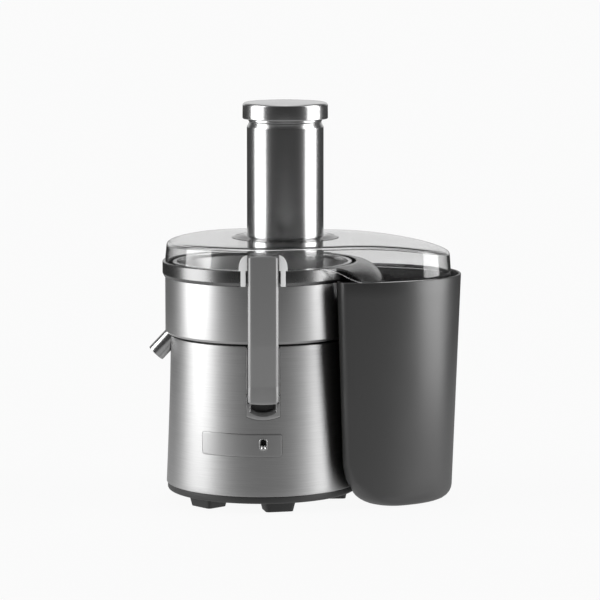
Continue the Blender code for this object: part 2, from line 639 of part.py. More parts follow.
# ---- Motor -----------------------------------------------------------------------------------------
LOWER_BRACKET_Z = RING_WALL_TOP + GAP
UPPER_BRACKET_Z = DECK_TOP - 28.0 * MM
CORE_BOTTOM = LOWER_BRACKET_Z + 40.0 * MM
CORE_TOP = UPPER_BRACKET_Z - 28.0 * MM
BRACKET_PLATE = 4.0 * MM
BEARING_LENGTH = 7.0 * MM
HUB_RADIUS = 16.0 * MM


def bracket(name, base, seat):
    """A pressed end bracket: a disc with a hub that holds a bearing, open above it."""
    turned(name, [
        (BEARING_RADIUS + GAP, seat + BEARING_LENGTH), (HUB_RADIUS, seat + BEARING_LENGTH),
        (HUB_RADIUS, base + BRACKET_PLATE), (BRACKET_RADIUS, base + BRACKET_PLATE), (BRACKET_RADIUS, base),
        (SHAFT_RADIUS + 2 * MM, base), (SHAFT_RADIUS + 2 * MM, seat - GAP),
        (BEARING_RADIUS + GAP, seat - GAP)],
        IRON, MID_STEPS)


def motor():
    """A series motor: wound stator, rotor with commutator and fan, two bearings and two brushes."""
    lower_seat = LOWER_BRACKET_Z + BRACKET_PLATE + 2 * MM
    upper_seat = UPPER_BRACKET_Z + BRACKET_PLATE + 2 * MM
    bracket("lower_motor_bracket", LOWER_BRACKET_Z, lower_seat)
    bracket("upper_motor_bracket", UPPER_BRACKET_Z, upper_seat)
    bore = SHAFT_RADIUS + GAP
    for name, seat in (("lower_bearing", lower_seat), ("upper_bearing", upper_seat)):
        turned(name, ring(bore, BEARING_RADIUS, seat, seat + BEARING_LENGTH), POLISHED, MID_STEPS)
    turned("motor_stator", ring(ROTOR_RADIUS + 1 * MM, STATOR_RADIUS, CORE_BOTTOM, CORE_TOP), IRON, MID_STEPS)
    coil = (ROTOR_RADIUS + 5 * MM, STATOR_RADIUS - 4 * MM)
    coil_height = 7.0 * MM
    lower_coil = CORE_BOTTOM - GAP - coil_height
    upper_coil = CORE_TOP + GAP
    turned("lower_field_coil", ring(*coil, lower_coil, lower_coil + coil_height), COPPER, MID_STEPS)
    turned("upper_field_coil", ring(*coil, upper_coil, upper_coil + coil_height), COPPER, MID_STEPS)
    turned("rotor_core", ring(bore, ROTOR_RADIUS, CORE_BOTTOM, CORE_TOP), IRON, MID_STEPS, parent=ROTOR)
    commutator = (lower_seat + BEARING_LENGTH + 5 * MM, CORE_BOTTOM - 8 * MM)
    turned("commutator", ring(bore, COMMUTATOR_RADIUS, *commutator), COPPER, SMALL_STEPS, parent=ROTOR)
    turned("motor_shaft", ring(0, SHAFT_RADIUS, lower_seat, BASKET_BOTTOM - 2 * MM), POLISHED, SMALL_STEPS,
           parent=ROTOR)

    half = 3.0 * MM
    middle = sum(commutator) / 2
    for name, turn in (("left", math.pi), ("right", 0.0)):
        holder = box(f"brush_holder_{name}", (18 * MM, -7 * MM, LOWER_BRACKET_Z + BRACKET_PLATE + GAP),
                     (36 * MM, 7 * MM, commutator[1]), DARK_PLASTIC, turn=(0, 0, turn))
        channel = box(f"brush_channel_{name}", (10 * MM, -half - GAP, middle - half - GAP),
                      (40 * MM, half + GAP, middle + half + GAP), None, turn=(0, 0, turn))
        cut(holder, channel)
        box(f"carbon_brush_{name}", (COMMUTATOR_RADIUS + GAP, -half, middle - half),
            (30 * MM, half, middle + half), RUBBER, turn=(0, 0, turn))

    for number, angle in enumerate(SCREW_ANGLES, 1):
        x, y = around(angle, TIE_ROD_REACH)
        rod(f"motor_tie_rod_{number}", (x, y, LOWER_BRACKET_Z + BRACKET_PLATE + GAP),
            (x, y, UPPER_BRACKET_Z - GAP), 2.5 * MM, POLISHED, 12)

    fan_bottom = CORE_TOP + coil_height + 5 * MM
    fan = turned("cooling_fan", [
        (bore, fan_bottom + 10 * MM), (9 * MM, fan_bottom + 10 * MM), (9 * MM, fan_bottom + 2 * MM),
        (FAN_RADIUS, fan_bottom + 2 * MM), (FAN_RADIUS, fan_bottom), (bore, fan_bottom)],
        DARK_PLASTIC, MID_STEPS,
        parent=ROTOR)
    blades = 8
    for index in range(blades):
        angle = 2 * math.pi * index / blades
        blade = box(f"fan_blade_{index + 1}", (8 * MM, -0.7 * MM, fan_bottom + 1 * MM),
                    (FAN_RADIUS - 2 * MM, 0.7 * MM, fan_bottom + 9 * MM), None, ROTOR, (0, 0, angle))
        cut(fan, blade, "UNION")

    coupling_bottom = CHIMNEY_TOP + 0.3 * MM
    coupling = turned("drive_coupling", ring(bore, COUPLING_RADIUS, coupling_bottom, BASKET_BOTTOM - 1.5 * MM),
                      DARK_PLASTIC, MID_STEPS, parent=ROTOR)
    for name, turn in (("a", 0.0), ("b", math.pi / 2)):
        groove = box(f"coupling_groove_{name}", (-20 * MM, -2.5 * MM, BASKET_BOTTOM - 5 * MM),
                     (20 * MM, 2.5 * MM, BASKET_BOTTOM), None, ROTOR, (0, 0, turn))
        cut(coupling, groove)
    seal_top = CHIMNEY_TOP - 1.5 * MM
    seal_edge = BEARING_RADIUS + 1 * MM - GAP
    turned("shaft_seal", ring(SHAFT_RADIUS + 0.4 * MM, seal_edge, seal_top - 2.5 * MM, seal_top), RUBBER,
           SMALL_STEPS)


# ---- Collector: bowl, band, pulp lip and spout -----------------------------------------------------
def bowl_outside(offset):
    """Outer side of the bowl from its top down to its floor."""
    radius = BOWL_RADIUS + offset
    low = BOWL_BOTTOM - offset
    return [(radius, BOWL_TOP), (radius, low + 2.5 * MM), (radius - 0.8 * MM, low + 0.9 * MM),
            (radius - 2.4 * MM, low)]


def collector():
    """The juice bowl with its chimney, the dark band, the lip over the bin and the spout."""
    floor = BOWL_BOTTOM + BOWL_WALL
    inside = BOWL_RADIUS - BOWL_WALL
    bowl = turned("collector_bowl", [
        *bowl_outside(0.0), (CHIMNEY_RADIUS, BOWL_BOTTOM), (CHIMNEY_RADIUS, CHIMNEY_TOP),
        (CHIMNEY_RADIUS + BOWL_WALL, CHIMNEY_TOP), (CHIMNEY_RADIUS + BOWL_WALL, floor),
        (inside - 2 * MM, floor), (inside, floor + 2 * MM), (inside, BOWL_TOP)], BRUSHED,
        at=(0, 0, 0), parent=COLLECTOR)
    down = Vector((-math.cos(SPOUT_SLOPE), 0, -math.sin(SPOUT_SLOPE)))
    tip = Vector((SPOUT_TIP_X, 0, SPOUT_TIP_Z))
    start = tip - down * 34 * MM
    drain = rod("drain_cutter", tip + down * 2 * MM, tip - down * 42 * MM, SPOUT_RADIUS - SPOUT_WALL, None,
                MID_STEPS, COLLECTOR)
    cut(bowl, drain)
    spout = rod("juice_spout", start, tip, SPOUT_RADIUS, POLISHED, MID_STEPS, COLLECTOR)
    cut(spout, drain)
    clearance = turned("spout_trim", [(0, BOWL_TOP), *bowl_outside(GAP), (0, BOWL_BOTTOM - GAP)], None,
                       parent=COLLECTOR)
    cut(spout, clearance)

    low = BOWL_TOP + GAP
    band = turned("collector_band", [
        (BAND_INNER_RADIUS, BAND_TOP), (BAND_RADIUS - 1 * MM, BAND_TOP), (BAND_RADIUS, BAND_TOP - 1 * MM),
        (BAND_RADIUS, low + 3.2 * MM), (BAND_RADIUS - 1.6 * MM, low), (BAND_INNER_RADIUS, low)], DARK_CHROME,
        parent=COLLECTOR)
    lip_top = BAND_TOP - 0.2 * MM
    notch = box("lip_notch", (0, -LIP_HALF_WIDTH - GAP, lip_top - LIP_WALL - 1.2 * MM),
                (BAND_RADIUS + 5 * MM, LIP_HALF_WIDTH + GAP, BAND_TOP + MM), None, COLLECTOR)
    cut(band, notch)
    centre = (BAND_INNER_RADIUS + 2.5 * MM, lip_top - LIP_RADIUS)
    steep = 6
    lip = turned("pulp_lip", [
        (BAND_INNER_RADIUS + GAP, lip_top), *arc(centre, LIP_RADIUS, 90, steep, 7),
        *arc(centre, LIP_RADIUS - LIP_WALL, steep, 90, 7), (BAND_INNER_RADIUS + GAP, lip_top - LIP_WALL)],
        BRUSHED, parent=COLLECTOR)
    sector = box("lip_sector", (0, -LIP_HALF_WIDTH, centre[1] - 10 * MM),
                 (BAND_RADIUS + 40 * MM, LIP_HALF_WIDTH, BAND_TOP + 10 * MM), None, COLLECTOR)
    cut(lip, sector, "INTERSECT")


# ---- Filter basket ---------------------------------------------------------------------------------
def basket():
    """The spinning sieve: a cone with a turned-out rim, the grater disc and the socket below it."""
    floor = BASKET_BOTTOM + 2 * MM
    rim_low = BASKET_TOP - 4 * MM
    cone_top = BASKET_RIM_RADIUS - 3.2 * MM
    turned("filter_basket", [
        (0, floor), (BASKET_FLOOR_RADIUS - BASKET_WALL, floor), (cone_top - BASKET_WALL, rim_low),
        (cone_top - BASKET_WALL, BASKET_TOP - 0.8 * MM), (cone_top, BASKET_TOP),
        (BASKET_RIM_RADIUS - 0.8 * MM, BASKET_TOP), (BASKET_RIM_RADIUS, BASKET_TOP - 0.8 * MM),
        (BASKET_RIM_RADIUS, rim_low), (cone_top, rim_low), (BASKET_FLOOR_RADIUS, BASKET_BOTTOM),
        (0, BASKET_BOTTOM)], BRUSHED, parent=BASKET)
    disc = floor + GAP
    turned("grater_disc", [
        (0, disc + 2.6 * MM), (12 * MM, disc + 2.6 * MM), (14 * MM, disc + 1.6 * MM),
        (BASKET_FLOOR_RADIUS - BASKET_WALL - 0.6 * MM, disc + 1.6 * MM),
        (BASKET_FLOOR_RADIUS - BASKET_WALL - 0.6 * MM, disc), (0, disc)], POLISHED, MID_STEPS, parent=BASKET)
    hub = (COUPLING_RADIUS + SLIDE_GAP, CHIMNEY_RADIUS - 3.5 * MM)
    turned("basket_hub", ring(*hub, CHIMNEY_TOP + 1.5 * MM, BASKET_BOTTOM - GAP), DARK_PLASTIC, MID_STEPS,
           parent=BASKET)


# ---- Lid, feed tube and pusher ---------------------------------------------------------------------
def lid_plan(inset):
    """Points round the lid: the circle over the bowl, two bowed sides and the circle over the bin."""
    bowl = BOWL_RADIUS - inset
    end = LID_END_RADIUS - inset
    lean = math.asin((BOWL_RADIUS - LID_END_RADIUS) / LID_END_X)
    side = 90 - math.degrees(lean)
    normal = Vector((math.sin(lean), math.cos(lean)))
    first = normal * bowl
    last = Vector((LID_END_X, 0)) + normal * end
    half = arc((0, 0), bowl, 180, side, 13)
    sides = 6
    for i in range(1, sides):
        share = i / sides
        point = first.lerp(last, share) + normal * LID_SIDE_BOW * 4 * share * (1 - share)
        half.append(tuple(point))
    half += arc((LID_END_X, 0), end, side, 0, 8)
    return half + [(x, -y) for x, y in half[-2:0:-1]]


def smoothstep(low, high, value):
    share = min(max((value - low) / (high - low), 0.0), 1.0)
    return share * share * (3 - 2 * share)


def lid_top(x):
    """Height of the lid's top: level round the tube, falling a little to the left and more to the bin."""
    level = TUBE_RADIUS + 18.5 * MM
    left = min(x - (TUBE_X - level), 0.0) / (BOWL_RADIUS + TUBE_X - level)
    right = max(x - (TUBE_X + level), 0.0) / (LID_END_X + LID_END_RADIUS - TUBE_X - level)
    return LID_TOP - LID_LEFT_FALL * left ** 2 - LID_RIGHT_FALL * right ** 2


def lid_bottom(x):
    """Height of the lid's lower edge: on the band, then down into the bin."""
    rest = BAND_TOP + GAP
    return rest + (LID_SKIRT_BOTTOM - rest) * smoothstep(*LID_DESCENT, x)


def lid_cover():
    """The clear cover, lofted from its plan up and over to the hole for the tube."""
    hole = TUBE_RADIUS + SLIDE_GAP
    edge = LID_FLARE + 3 * MM

    def rim(inset, height):
        return [(x, y, height(x)) for x, y in lid_plan(inset)]

    def inward(share, drop, inset):
        points = []
        for x, y in lid_plan(inset):
            angle = math.atan2(y - TUBE_Y, x - TUBE_X)
            a = x + (TUBE_X + hole * math.cos(angle) - x) * share
            b = y + (TUBE_Y + hole * math.sin(angle) - y) * share
            points.append((a, b, lid_top(a) - drop))
        return points

    stages = [
        rim(0, lid_bottom), rim(LID_FLARE, lambda x: lid_top(x) - 3 * MM),
        rim(LID_FLARE + 0.8 * MM, lambda x: lid_top(x) - 0.9 * MM),
        inward(0, 0, edge), inward(0.34, 0, edge), inward(0.67, 0, edge), inward(1, 0, edge),
        inward(1, LID_WALL, edge), inward(0.67, LID_WALL, edge), inward(0.34, LID_WALL, edge),
        inward(0, LID_WALL, LID_FLARE + LID_WALL + 2 * MM),
        rim(LID_FLARE + LID_WALL, lambda x: lid_top(x) - LID_WALL - 2 * MM), rim(LID_WALL, lid_bottom)]
    count = len(stages[0])
    vertices = [point for stage in stages for point in stage]
    faces = []
    for k in range(len(stages)):
        after = (k + 1) % len(stages)
        for i in range(count):
            j = (i + 1) % count
            faces.append((k * count + i, after * count + i, after * count + j, k * count + j))
    lid = skin("lid_cover", vertices, faces, CLEAR, LID)
    lid.data.transform(Matrix.Translation((0, 0, -BAND_TOP)))


def lid_lug(side, turn):
    """A moulded lug: two ears beside the latch arm, a ledge behind it and two legs over the band."""
    slot = ARM_WIDTH / 2 + SLIDE_GAP
    ear = slot + 8.5 * MM
    low = BAND_TOP + 1 * MM
    ledge = low + 7 * MM
    top = ARM_TOP + 0.4 * MM
    leg = (slot + 1.6 * MM, slot + 6.6 * MM)
    leg_bottom = BOWL_TOP + 1 * MM
    round_ear = [(slot + (ear - slot) * math.cos(a), low + 2 * MM + (top - low - 2 * MM) * math.sin(a))
                 for a in [math.radians(90 * i / 6) for i in range(7)]]
    right = [(leg[0], low), (leg[0], leg_bottom), (leg[1], leg_bottom), (leg[1], low + 0.6 * MM),
             (ear, low + 1.2 * MM), *round_ear, (slot, ledge)]
    outline = right + [(-x, z) for x, z in reversed(right)]
    lug = plate(f"lid_lug_{side}", outline, "Y", -ARM_FRONT + 2 * MM, -BOWL_RADIUS - GAP, CLEAR, LID,
                turn=(0, 0, turn))
    room = slot + 0.1 * MM
    arm_room = box(f"arm_room_{side}", (-room, -ARM_FRONT, leg_bottom - MM),
                   (room, -ARM_FRONT + ARM_THICKNESS + SLIDE_GAP, top + MM), None, LID, (0, 0, turn))
    leg_back = math.sqrt(BAND_RADIUS ** 2 - leg[0] ** 2) + 2.1 * MM
    band_room = box(f"band_room_{side}", (-ear - MM, -leg_back, leg_bottom - MM),
                    (ear + MM, -BOWL_RADIUS + MM, BAND_TOP + GAP), None, LID, (0, 0, turn))
    cut(lug, arm_room)
    cut(lug, band_room)


def feed_tube():
    """The steel tube through the lid, drawn in at its top, and the collar that seats it."""
    neck = TUBE_RADIUS - TUBE_NECK_STEP
    shoulder = TUBE_TOP - TUBE_NECK_HEIGHT
    outer = [(neck, TUBE_TOP), (TUBE_RADIUS - 0.6 * MM, shoulder + 1.8 * MM), (TUBE_RADIUS, shoulder),
             (TUBE_RADIUS, TUBE_BOTTOM)]
    inner = [(r - TUBE_WALL, z) for r, z in outer]
    turned("feed_tube", outer + inner[::-1], POLISHED, at=(TUBE_X, TUBE_Y, 0), parent=LID)
    seat = LID_TOP + GAP
    bore = TUBE_RADIUS + GAP
    turned("tube_collar", [
        (bore, seat + 2.4 * MM), (bore + 1.6 * MM, seat + 2.4 * MM), (bore + 2.4 * MM, seat + 1.6 * MM),
        (bore + 15 * MM, seat + 0.8 * MM), (bore + 15.6 * MM, seat), (bore, seat)], CLEAR,
        at=(TUBE_X, TUBE_Y, 0), parent=LID)


def pusher():
    """The food pusher: a closed-end cup that fills the tube, under a steel cap."""
    cap_bottom = TUBE_TOP + GAP
    cup_bottom = TUBE_BOTTOM + 3 * MM
    cup_top = cap_bottom - GAP
    inside = PUSHER_RADIUS - PUSHER_WALL
    turned("pusher_body", [
        (0, cup_bottom + PUSHER_WALL), (inside, cup_bottom + PUSHER_WALL), (inside, cup_top),
        (PUSHER_RADIUS, cup_top), (PUSHER_RADIUS, cup_bottom + 1.5 * MM),
        (PUSHER_RADIUS - 1.5 * MM, cup_bottom), (0, cup_bottom)],
        DARK_PLASTIC, at=(TUBE_X, TUBE_Y, 0), parent=PUSHER)
    top = cap_bottom + CAP_HEIGHT
    spigot = inside - GAP
    bead = PUSHER_RADIUS + 2.6 * MM
    turned("pusher_cap", [
        (0, top), (0.5 * CAP_RADIUS, top - 0.7 * MM), (CAP_RADIUS - 3 * MM, top - 2.4 * MM),
        (CAP_RADIUS - 0.8 * MM, top - 4 * MM), (CAP_RADIUS, top - 6.4 * MM), (CAP_RADIUS, cap_bottom + 4 * MM),
        (CAP_RADIUS - 1 * MM, cap_bottom + 2.8 * MM), (bead, cap_bottom + 2.6 * MM), (bead, cap_bottom + 0.6 * MM),
        (bead - 0.6 * MM, cap_bottom), (spigot, cap_bottom), (spigot, cap_bottom - 8 * MM),
        (0, cap_bottom - 8 * MM)], POLISHED, at=(TUBE_X, TUBE_Y, 0), parent=PUSHER)


# ---- Pulp bin --------------------------------------------------------------------------------------
def bin_plan(inset, z):
    """Points round the bin at a height, set in from its outer side: an ellipse, a hollow round the body and
    a fillet in each corner between them. The corners widen near the floor."""
    share = z / BIN_HEIGHT
    near_floor = max(1 - z / (2.4 * BIN_FLOOR_ROUND), 0)
    corner = max(BIN_CORNER * (1 + share / 2 + 2 * near_floor ** 2) - inset, 2 * MM)
    length = BIN_LENGTH * (BIN_LENGTH_TAPER + (1 - BIN_LENGTH_TAPER) * share) - inset
    depth = BIN_DEPTH * (BIN_DEPTH_TAPER + (1 - BIN_DEPTH_TAPER) * share) - inset
    a = length - corner
    b = depth - corner
    reach = BIN_HOLLOW + inset + corner
    low, high = 0.3, math.pi
    for _ in range(40):
        crossing = (low + high) / 2
        if math.hypot(BIN_CENTRE_X + a * math.cos(crossing), b * math.sin(crossing)) > reach:
            low = crossing
        else:
            high = crossing
    centre = (BIN_CENTRE_X + a * math.cos(crossing), b * math.sin(crossing))
    outward = math.degrees(math.atan2(math.sin(crossing) / b, math.cos(crossing) / a))
    inward = math.degrees(math.atan2(centre[1], centre[0])) + 180
    shell = []
    for i in range(29):
        turn = crossing * (i / 14 - 1)
        normal = Vector((math.cos(turn) / a, math.sin(turn) / b)).normalized()
        x = BIN_CENTRE_X + a * math.cos(turn) + corner * normal.x
        shell.append((x, b * math.sin(turn) + corner * normal.y))
    fillet = arc(centre, corner, outward, inward, 4)[1:-1]
    hollow = arc((0, 0), BIN_HOLLOW + inset, inward - 180, 180 - inward, 14)
    return shell + fillet + hollow + [(x, -y) for x, y in fillet[::-1]]


def pulp_bin():
    """The bin: a tapering tub whose inner side is hollowed to stand close round the body."""
    rings = []
    for share in (0, 1 / 3, 2 / 3, 1):
        turn = share * math.pi / 2
        z = BIN_FLOOR_ROUND * (1 - math.cos(turn))
        rings.append([(*point, z) for point in bin_plan(BIN_FLOOR_ROUND * (1 - math.sin(turn)), z)])
    for inset, z in ((0, BIN_HEIGHT / 2), (0, BIN_HEIGHT), (BIN_WALL, BIN_HEIGHT), (BIN_WALL, BIN_HEIGHT / 2),
                     (BIN_WALL, BIN_FLOOR_ROUND), (BIN_WALL + 7 * MM, BIN_WALL)):
        rings.append([(*point, z) for point in bin_plan(inset, z)])
    count = len(rings[0])
    vertices = [point for ring_points in rings for point in ring_points]
    faces = [tuple(range(count)), tuple(range(count * (len(rings) - 1), count * len(rings)))]
    for k in range(len(rings) - 1):
        for i in range(count):
            j = (i + 1) % count
            faces.append((k * count + i, k * count + j, (k + 1) * count + j, (k + 1) * count + i))
    tub = skin("pulp_bin", vertices, faces, DARK_PLASTIC, BIN)
    tub.data.transform(Matrix.Translation((-BIN_CENTRE_X, 0, 0)))
    dip = box("bin_dip", (BIN_HOLLOW - 44.3 * MM, -BIN_DIP_HALF_WIDTH, BIN_INNER_WALL_TOP),
              (BIN_HOLLOW + 7 * MM, BIN_DIP_HALF_WIDTH, BIN_HEIGHT + 5 * MM), None, BIN)
    cut(tub, dip)


base_plate()
base_screws()
feet()
motor_base()
motor()
collector()
basket()
lid_cover()
lid_lug("front", 0.0)
lid_lug("rear", math.pi)
feed_tube()
pusher()
pulp_bin()
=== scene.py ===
"""A centrifugal juicer: a brushed steel body and bowl, a polished feed tube, a clear lid and a pulp bin.

Lengths are in metres. +Z is up, the pulp bin is towards +X and the front is -Y. Places come from the
fixed frame's boxes and joints; the sizes named in each section are that piece's own.
"""

import json
import math

import bmesh
import bpy
import numpy as np
from mathutils import Matrix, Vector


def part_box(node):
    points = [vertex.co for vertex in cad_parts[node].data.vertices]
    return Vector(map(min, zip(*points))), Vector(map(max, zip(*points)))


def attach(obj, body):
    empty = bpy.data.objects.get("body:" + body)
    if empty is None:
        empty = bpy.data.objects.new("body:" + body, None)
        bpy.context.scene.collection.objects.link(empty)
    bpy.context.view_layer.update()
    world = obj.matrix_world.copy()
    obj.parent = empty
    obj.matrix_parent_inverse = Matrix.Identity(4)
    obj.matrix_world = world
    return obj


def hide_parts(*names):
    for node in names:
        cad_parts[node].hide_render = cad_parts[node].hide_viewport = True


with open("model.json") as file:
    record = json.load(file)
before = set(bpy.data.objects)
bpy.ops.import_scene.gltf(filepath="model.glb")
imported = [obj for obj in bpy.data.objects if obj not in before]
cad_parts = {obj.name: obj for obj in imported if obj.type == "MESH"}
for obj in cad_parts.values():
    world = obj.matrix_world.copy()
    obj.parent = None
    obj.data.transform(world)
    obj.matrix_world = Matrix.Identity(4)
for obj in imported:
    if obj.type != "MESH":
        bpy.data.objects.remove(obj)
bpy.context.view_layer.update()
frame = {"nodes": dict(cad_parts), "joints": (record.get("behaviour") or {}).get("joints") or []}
joints = {joint["name"]: joint for joint in frame["joints"]}
MM = 0.001

# ---- Camera ----------------------------------------------------------------------------------------
# A long lens about three metres in front, a little above the lid and a touch to the left, so that
# upright lines stay upright.
lens = bpy.data.cameras.new("camera")
lens.lens = 192
lens.sensor_width = 36
lens.clip_end = 200
camera = bpy.data.objects.new("camera", lens)
camera.location = (-73.8 * MM, -3277.1 * MM, 627 * MM)
camera.rotation_euler = (math.radians(90 - 7.32), 0, math.radians(-1.2))
bpy.context.scene.collection.objects.link(camera)
bpy.context.scene.camera = camera
bpy.context.scene.view_settings.view_transform = "Standard"


# ---- Floor and studio light ------------------------------------------------------------------------
# A seamless pale paper sweep with a tall light at either side, a pale wall behind and a soft ceiling. In
# front the studio is left dark, which gives the steel its dark middle and edges.
def linear(code):
    """An sRGB hex colour as the linear colour that a shader takes."""
    values = np.array([int(code[i:i + 2], 16) for i in (1, 3, 5)]) / 255
    curve = np.where(values <= 0.04045, values / 12.92, ((values + 0.055) / 1.055) ** 2.4)
    return (*curve.tolist(), 1.0)


def node(tree, kind, values=(), links=(), **settings):
    """Adds a node: its settings, the values of its inputs and the outputs that are linked to them."""
    made = tree.nodes.new(kind)
    for name, value in settings.items():
        setattr(made, name, value)
    for name, value in dict(values).items():
        made.inputs[name].default_value = value
    for name, output in dict(links).items():
        tree.links.new(output, made.inputs[name])
    return made


def studio():
    """World light by direction: a tall strip each side with clear edges, a pale wall behind that fades in
    above the horizon, and a ceiling straight above."""
    world = bpy.data.worlds.new("studio")
    bpy.context.scene.world = world
    world.use_nodes = True
    tree = world.node_tree
    tree.nodes.clear()
    way = node(tree, "ShaderNodeTexCoord").outputs["Generated"]
    parts = node(tree, "ShaderNodeSeparateXYZ", links={0: way}).outputs
    front = node(tree, "ShaderNodeMath", {1: -1.0}, {0: parts["Y"]}, operation="MULTIPLY").outputs[0]
    turn = node(tree, "ShaderNodeMath", links={0: parts["X"], 1: front}, operation="ARCTAN2").outputs[0]
    side = node(tree, "ShaderNodeMath", links={0: turn}, operation="ABSOLUTE").outputs[0]

    def fade(source, low, high, start=0.0, end=1.0):
        return node(tree, "ShaderNodeMapRange",
                    {"From Min": low, "From Max": high, "To Min": start, "To Max": end},
                    {"Value": source}, interpolation_type="SMOOTHSTEP").outputs[0]

    def times(a, b):
        return node(tree, "ShaderNodeMath", links={0: a, 1: b}, operation="MULTIPLY").outputs[0]

    def plus(a, b):
        return node(tree, "ShaderNodeMath", links={0: a, 1: b}, operation="ADD").outputs[0]

    strip = times(fade(side, math.radians(62.5), math.radians(65.5)),
                  fade(side, math.radians(102), math.radians(105), 1.0, 0.0))
    strip = times(strip, times(fade(parts["Z"], -0.85, -0.7), fade(parts["Z"], 0.6, 0.7, 1.0, 0.0)))
    strip = fade(strip, 0.0, 1.0, 0.0, 4.6)
    wall = times(fade(side, math.radians(135), math.radians(165)), fade(parts["Z"], -0.03, 0.07, 0.0, 0.95))
    ceiling = fade(parts["Z"], 0.75, 0.97, 0.05, 0.9)
    glow = plus(plus(strip, wall), ceiling)
    shaped = node(tree, "ShaderNodeBackground", links={"Strength": glow})
    plain = node(tree, "ShaderNodeBackground", {"Color": linear("#fbfbfb"), "Strength": 1.0})
    ray = node(tree, "ShaderNodeLightPath").outputs
    through = node(tree, "ShaderNodeMath", links={0: ray["Is Camera Ray"], 1: ray["Is Transmission Ray"]},
                   operation="MAXIMUM").outputs[0]
    straight = node(tree, "ShaderNodeMath", {1: 0.5}, {0: ray["Glossy Depth"]}, operation="LESS_THAN")
    seen = times(through, straight.outputs[0])
    both = node(tree, "ShaderNodeMixShader", links={0: seen, 1: shaped.outputs[0], 2: plain.outputs[0]})
    node(tree, "ShaderNodeOutputWorld", links={"Surface": both.outputs[0]})


studio()


def material(name, shader_values, links=()):
    """A material with one Principled shader; returns the material, its tree and the shader."""
    made = bpy.data.materials.new(name)
    made.use_nodes = True
    tree = made.node_tree
    tree.nodes.clear()
    shader = node(tree, "ShaderNodeBsdfPrincipled", shader_values, links)
    node(tree, "ShaderNodeOutputMaterial", links={"Surface": shader.outputs[0]})
    return made, tree, shader


def floor():
    """A wide square that glows a little, so that only a faint shadow is left under the feet. Polished
    metal sees it only as far as a table's edge; beyond that it sees the dark of the studio."""
    half = 60.0
    mesh = bpy.data.meshes.new("floor")
    corners = [(-half, -half, 0), (half, -half, 0), (half, half, 0), (-half, half, 0)]
    mesh.from_pydata(corners, [], [(0, 1, 2, 3)])
    sweep = bpy.data.objects.new("floor", mesh)
    bpy.context.scene.collection.objects.link(sweep)
    paper = bpy.data.materials.new("paper")
    paper.use_nodes = True
    tree = paper.node_tree
    tree.nodes.clear()
    white = node(tree, "ShaderNodeBsdfDiffuse", {"Color": linear("#3c3c3c")})
    glow = node(tree, "ShaderNodeEmission", {"Color": linear("#ffffff"), "Strength": 0.93})
    lit = node(tree, "ShaderNodeAddShader", links={0: white.outputs[0], 1: glow.outputs[0]})
    ray = node(tree, "ShaderNodeLightPath").outputs
    place = node(tree, "ShaderNodeTexCoord").outputs["Object"]
    table = node(tree, "ShaderNodeMapping", {"Scale": (1 / 0.75, 1 / 1.45, 1.0)}, {"Vector": place})
    away = node(tree, "ShaderNodeVectorMath", links={0: table.outputs[0]}, operation="LENGTH")
    beyond = node(tree, "ShaderNodeMapRange", {"From Min": 0.85, "From Max": 1.15},
                  {"Value": away.outputs["Value"]})
    dim = node(tree, "ShaderNodeEmission", {"Color": linear("#ffffff"), "Strength": 0.40})
    through = node(tree, "ShaderNodeBsdfTransparent")
    edge = node(tree, "ShaderNodeMixShader", links={0: beyond.outputs[0], 1: dim.outputs[0],
                                                    2: through.outputs[0]})
    glossed = node(tree, "ShaderNodeMath", {1: 0.5}, {0: ray["Glossy Depth"]}, operation="GREATER_THAN")
    mixed = node(tree, "ShaderNodeMixShader", links={0: glossed.outputs[0], 1: lit.outputs[0],
                                                     2: edge.outputs[0]})
    node(tree, "ShaderNodeOutputMaterial", links={"Surface": mixed.outputs[0]})
    paper.cycles.emission_sampling = "NONE"
    mesh.materials.append(paper)
    sweep.visible_shadow = False


floor()

# ---- Base plate and feet ---------------------------------------------------------------------------
# The base plate is a dish of black ABS, injection moulded with a fine spark-eroded grain. It closes the
# sleeve from below, carries the motor on its ring wall and lets air in through eight slots.
SLEEVE_LOW, SLEEVE_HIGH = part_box("motor_housing")
AXIS_X = (SLEEVE_LOW.x + SLEEVE_HIGH.x) / 2
GAP = 0.3 * MM


def rounded(corners, steps=5, inset=0.0):
    """Outline through corners (a, b, rounding), drawn in by inset. Each corner becomes an arc that touches
    both its sides: it starts rounding / tan(half the corner's angle) before the corner and turns about a
    point that lies rounding / sin(half the angle) from it."""
    corners = np.array(corners, float)
    point = corners[:, :2]
    radius = corners[:, 2:3]

    def unit(vector):
        return vector / np.maximum(np.linalg.norm(vector, axis=-1, keepdims=True), 1e-12)

    back = unit(np.roll(point, 1, 0) - point)
    ahead = unit(np.roll(point, -1, 0) - point)
    half = np.arccos(np.clip((back * ahead).sum(1, keepdims=True), -1, 1)) / 2
    half = np.clip(half, 1e-4, math.pi / 2 - 1e-4)
    if inset:
        beside = np.roll(point, -1, 0)
        area = (point[:, 0] * beside[:, 1] - point[:, 1] * beside[:, 0]).sum()
        turn = back[:, 1:2] * ahead[:, 0:1] - back[:, 0:1] * ahead[:, 1:2]
        inner = np.sign(turn * area)
        point = point + inner * unit(back + ahead) * inset / np.sin(half)
        radius = np.maximum(radius - inner * inset, 0)
    reach = radius / np.tan(half)
    centre = point + unit(back + ahead) * radius / np.sin(half)
    first = point + back * reach - centre
    last = point + ahead * reach - centre
    sweep = math.pi - 2 * half
    share = np.linspace(0, 1, steps + 1)[None, :]
    before = (np.sin((1 - share) * sweep) / np.sin(sweep))[..., None]
    after = (np.sin(share * sweep) / np.sin(sweep))[..., None]
    arcs = centre[:, None] + before * first[:, None] + after * last[:, None]
    return arcs.reshape(-1, 2)


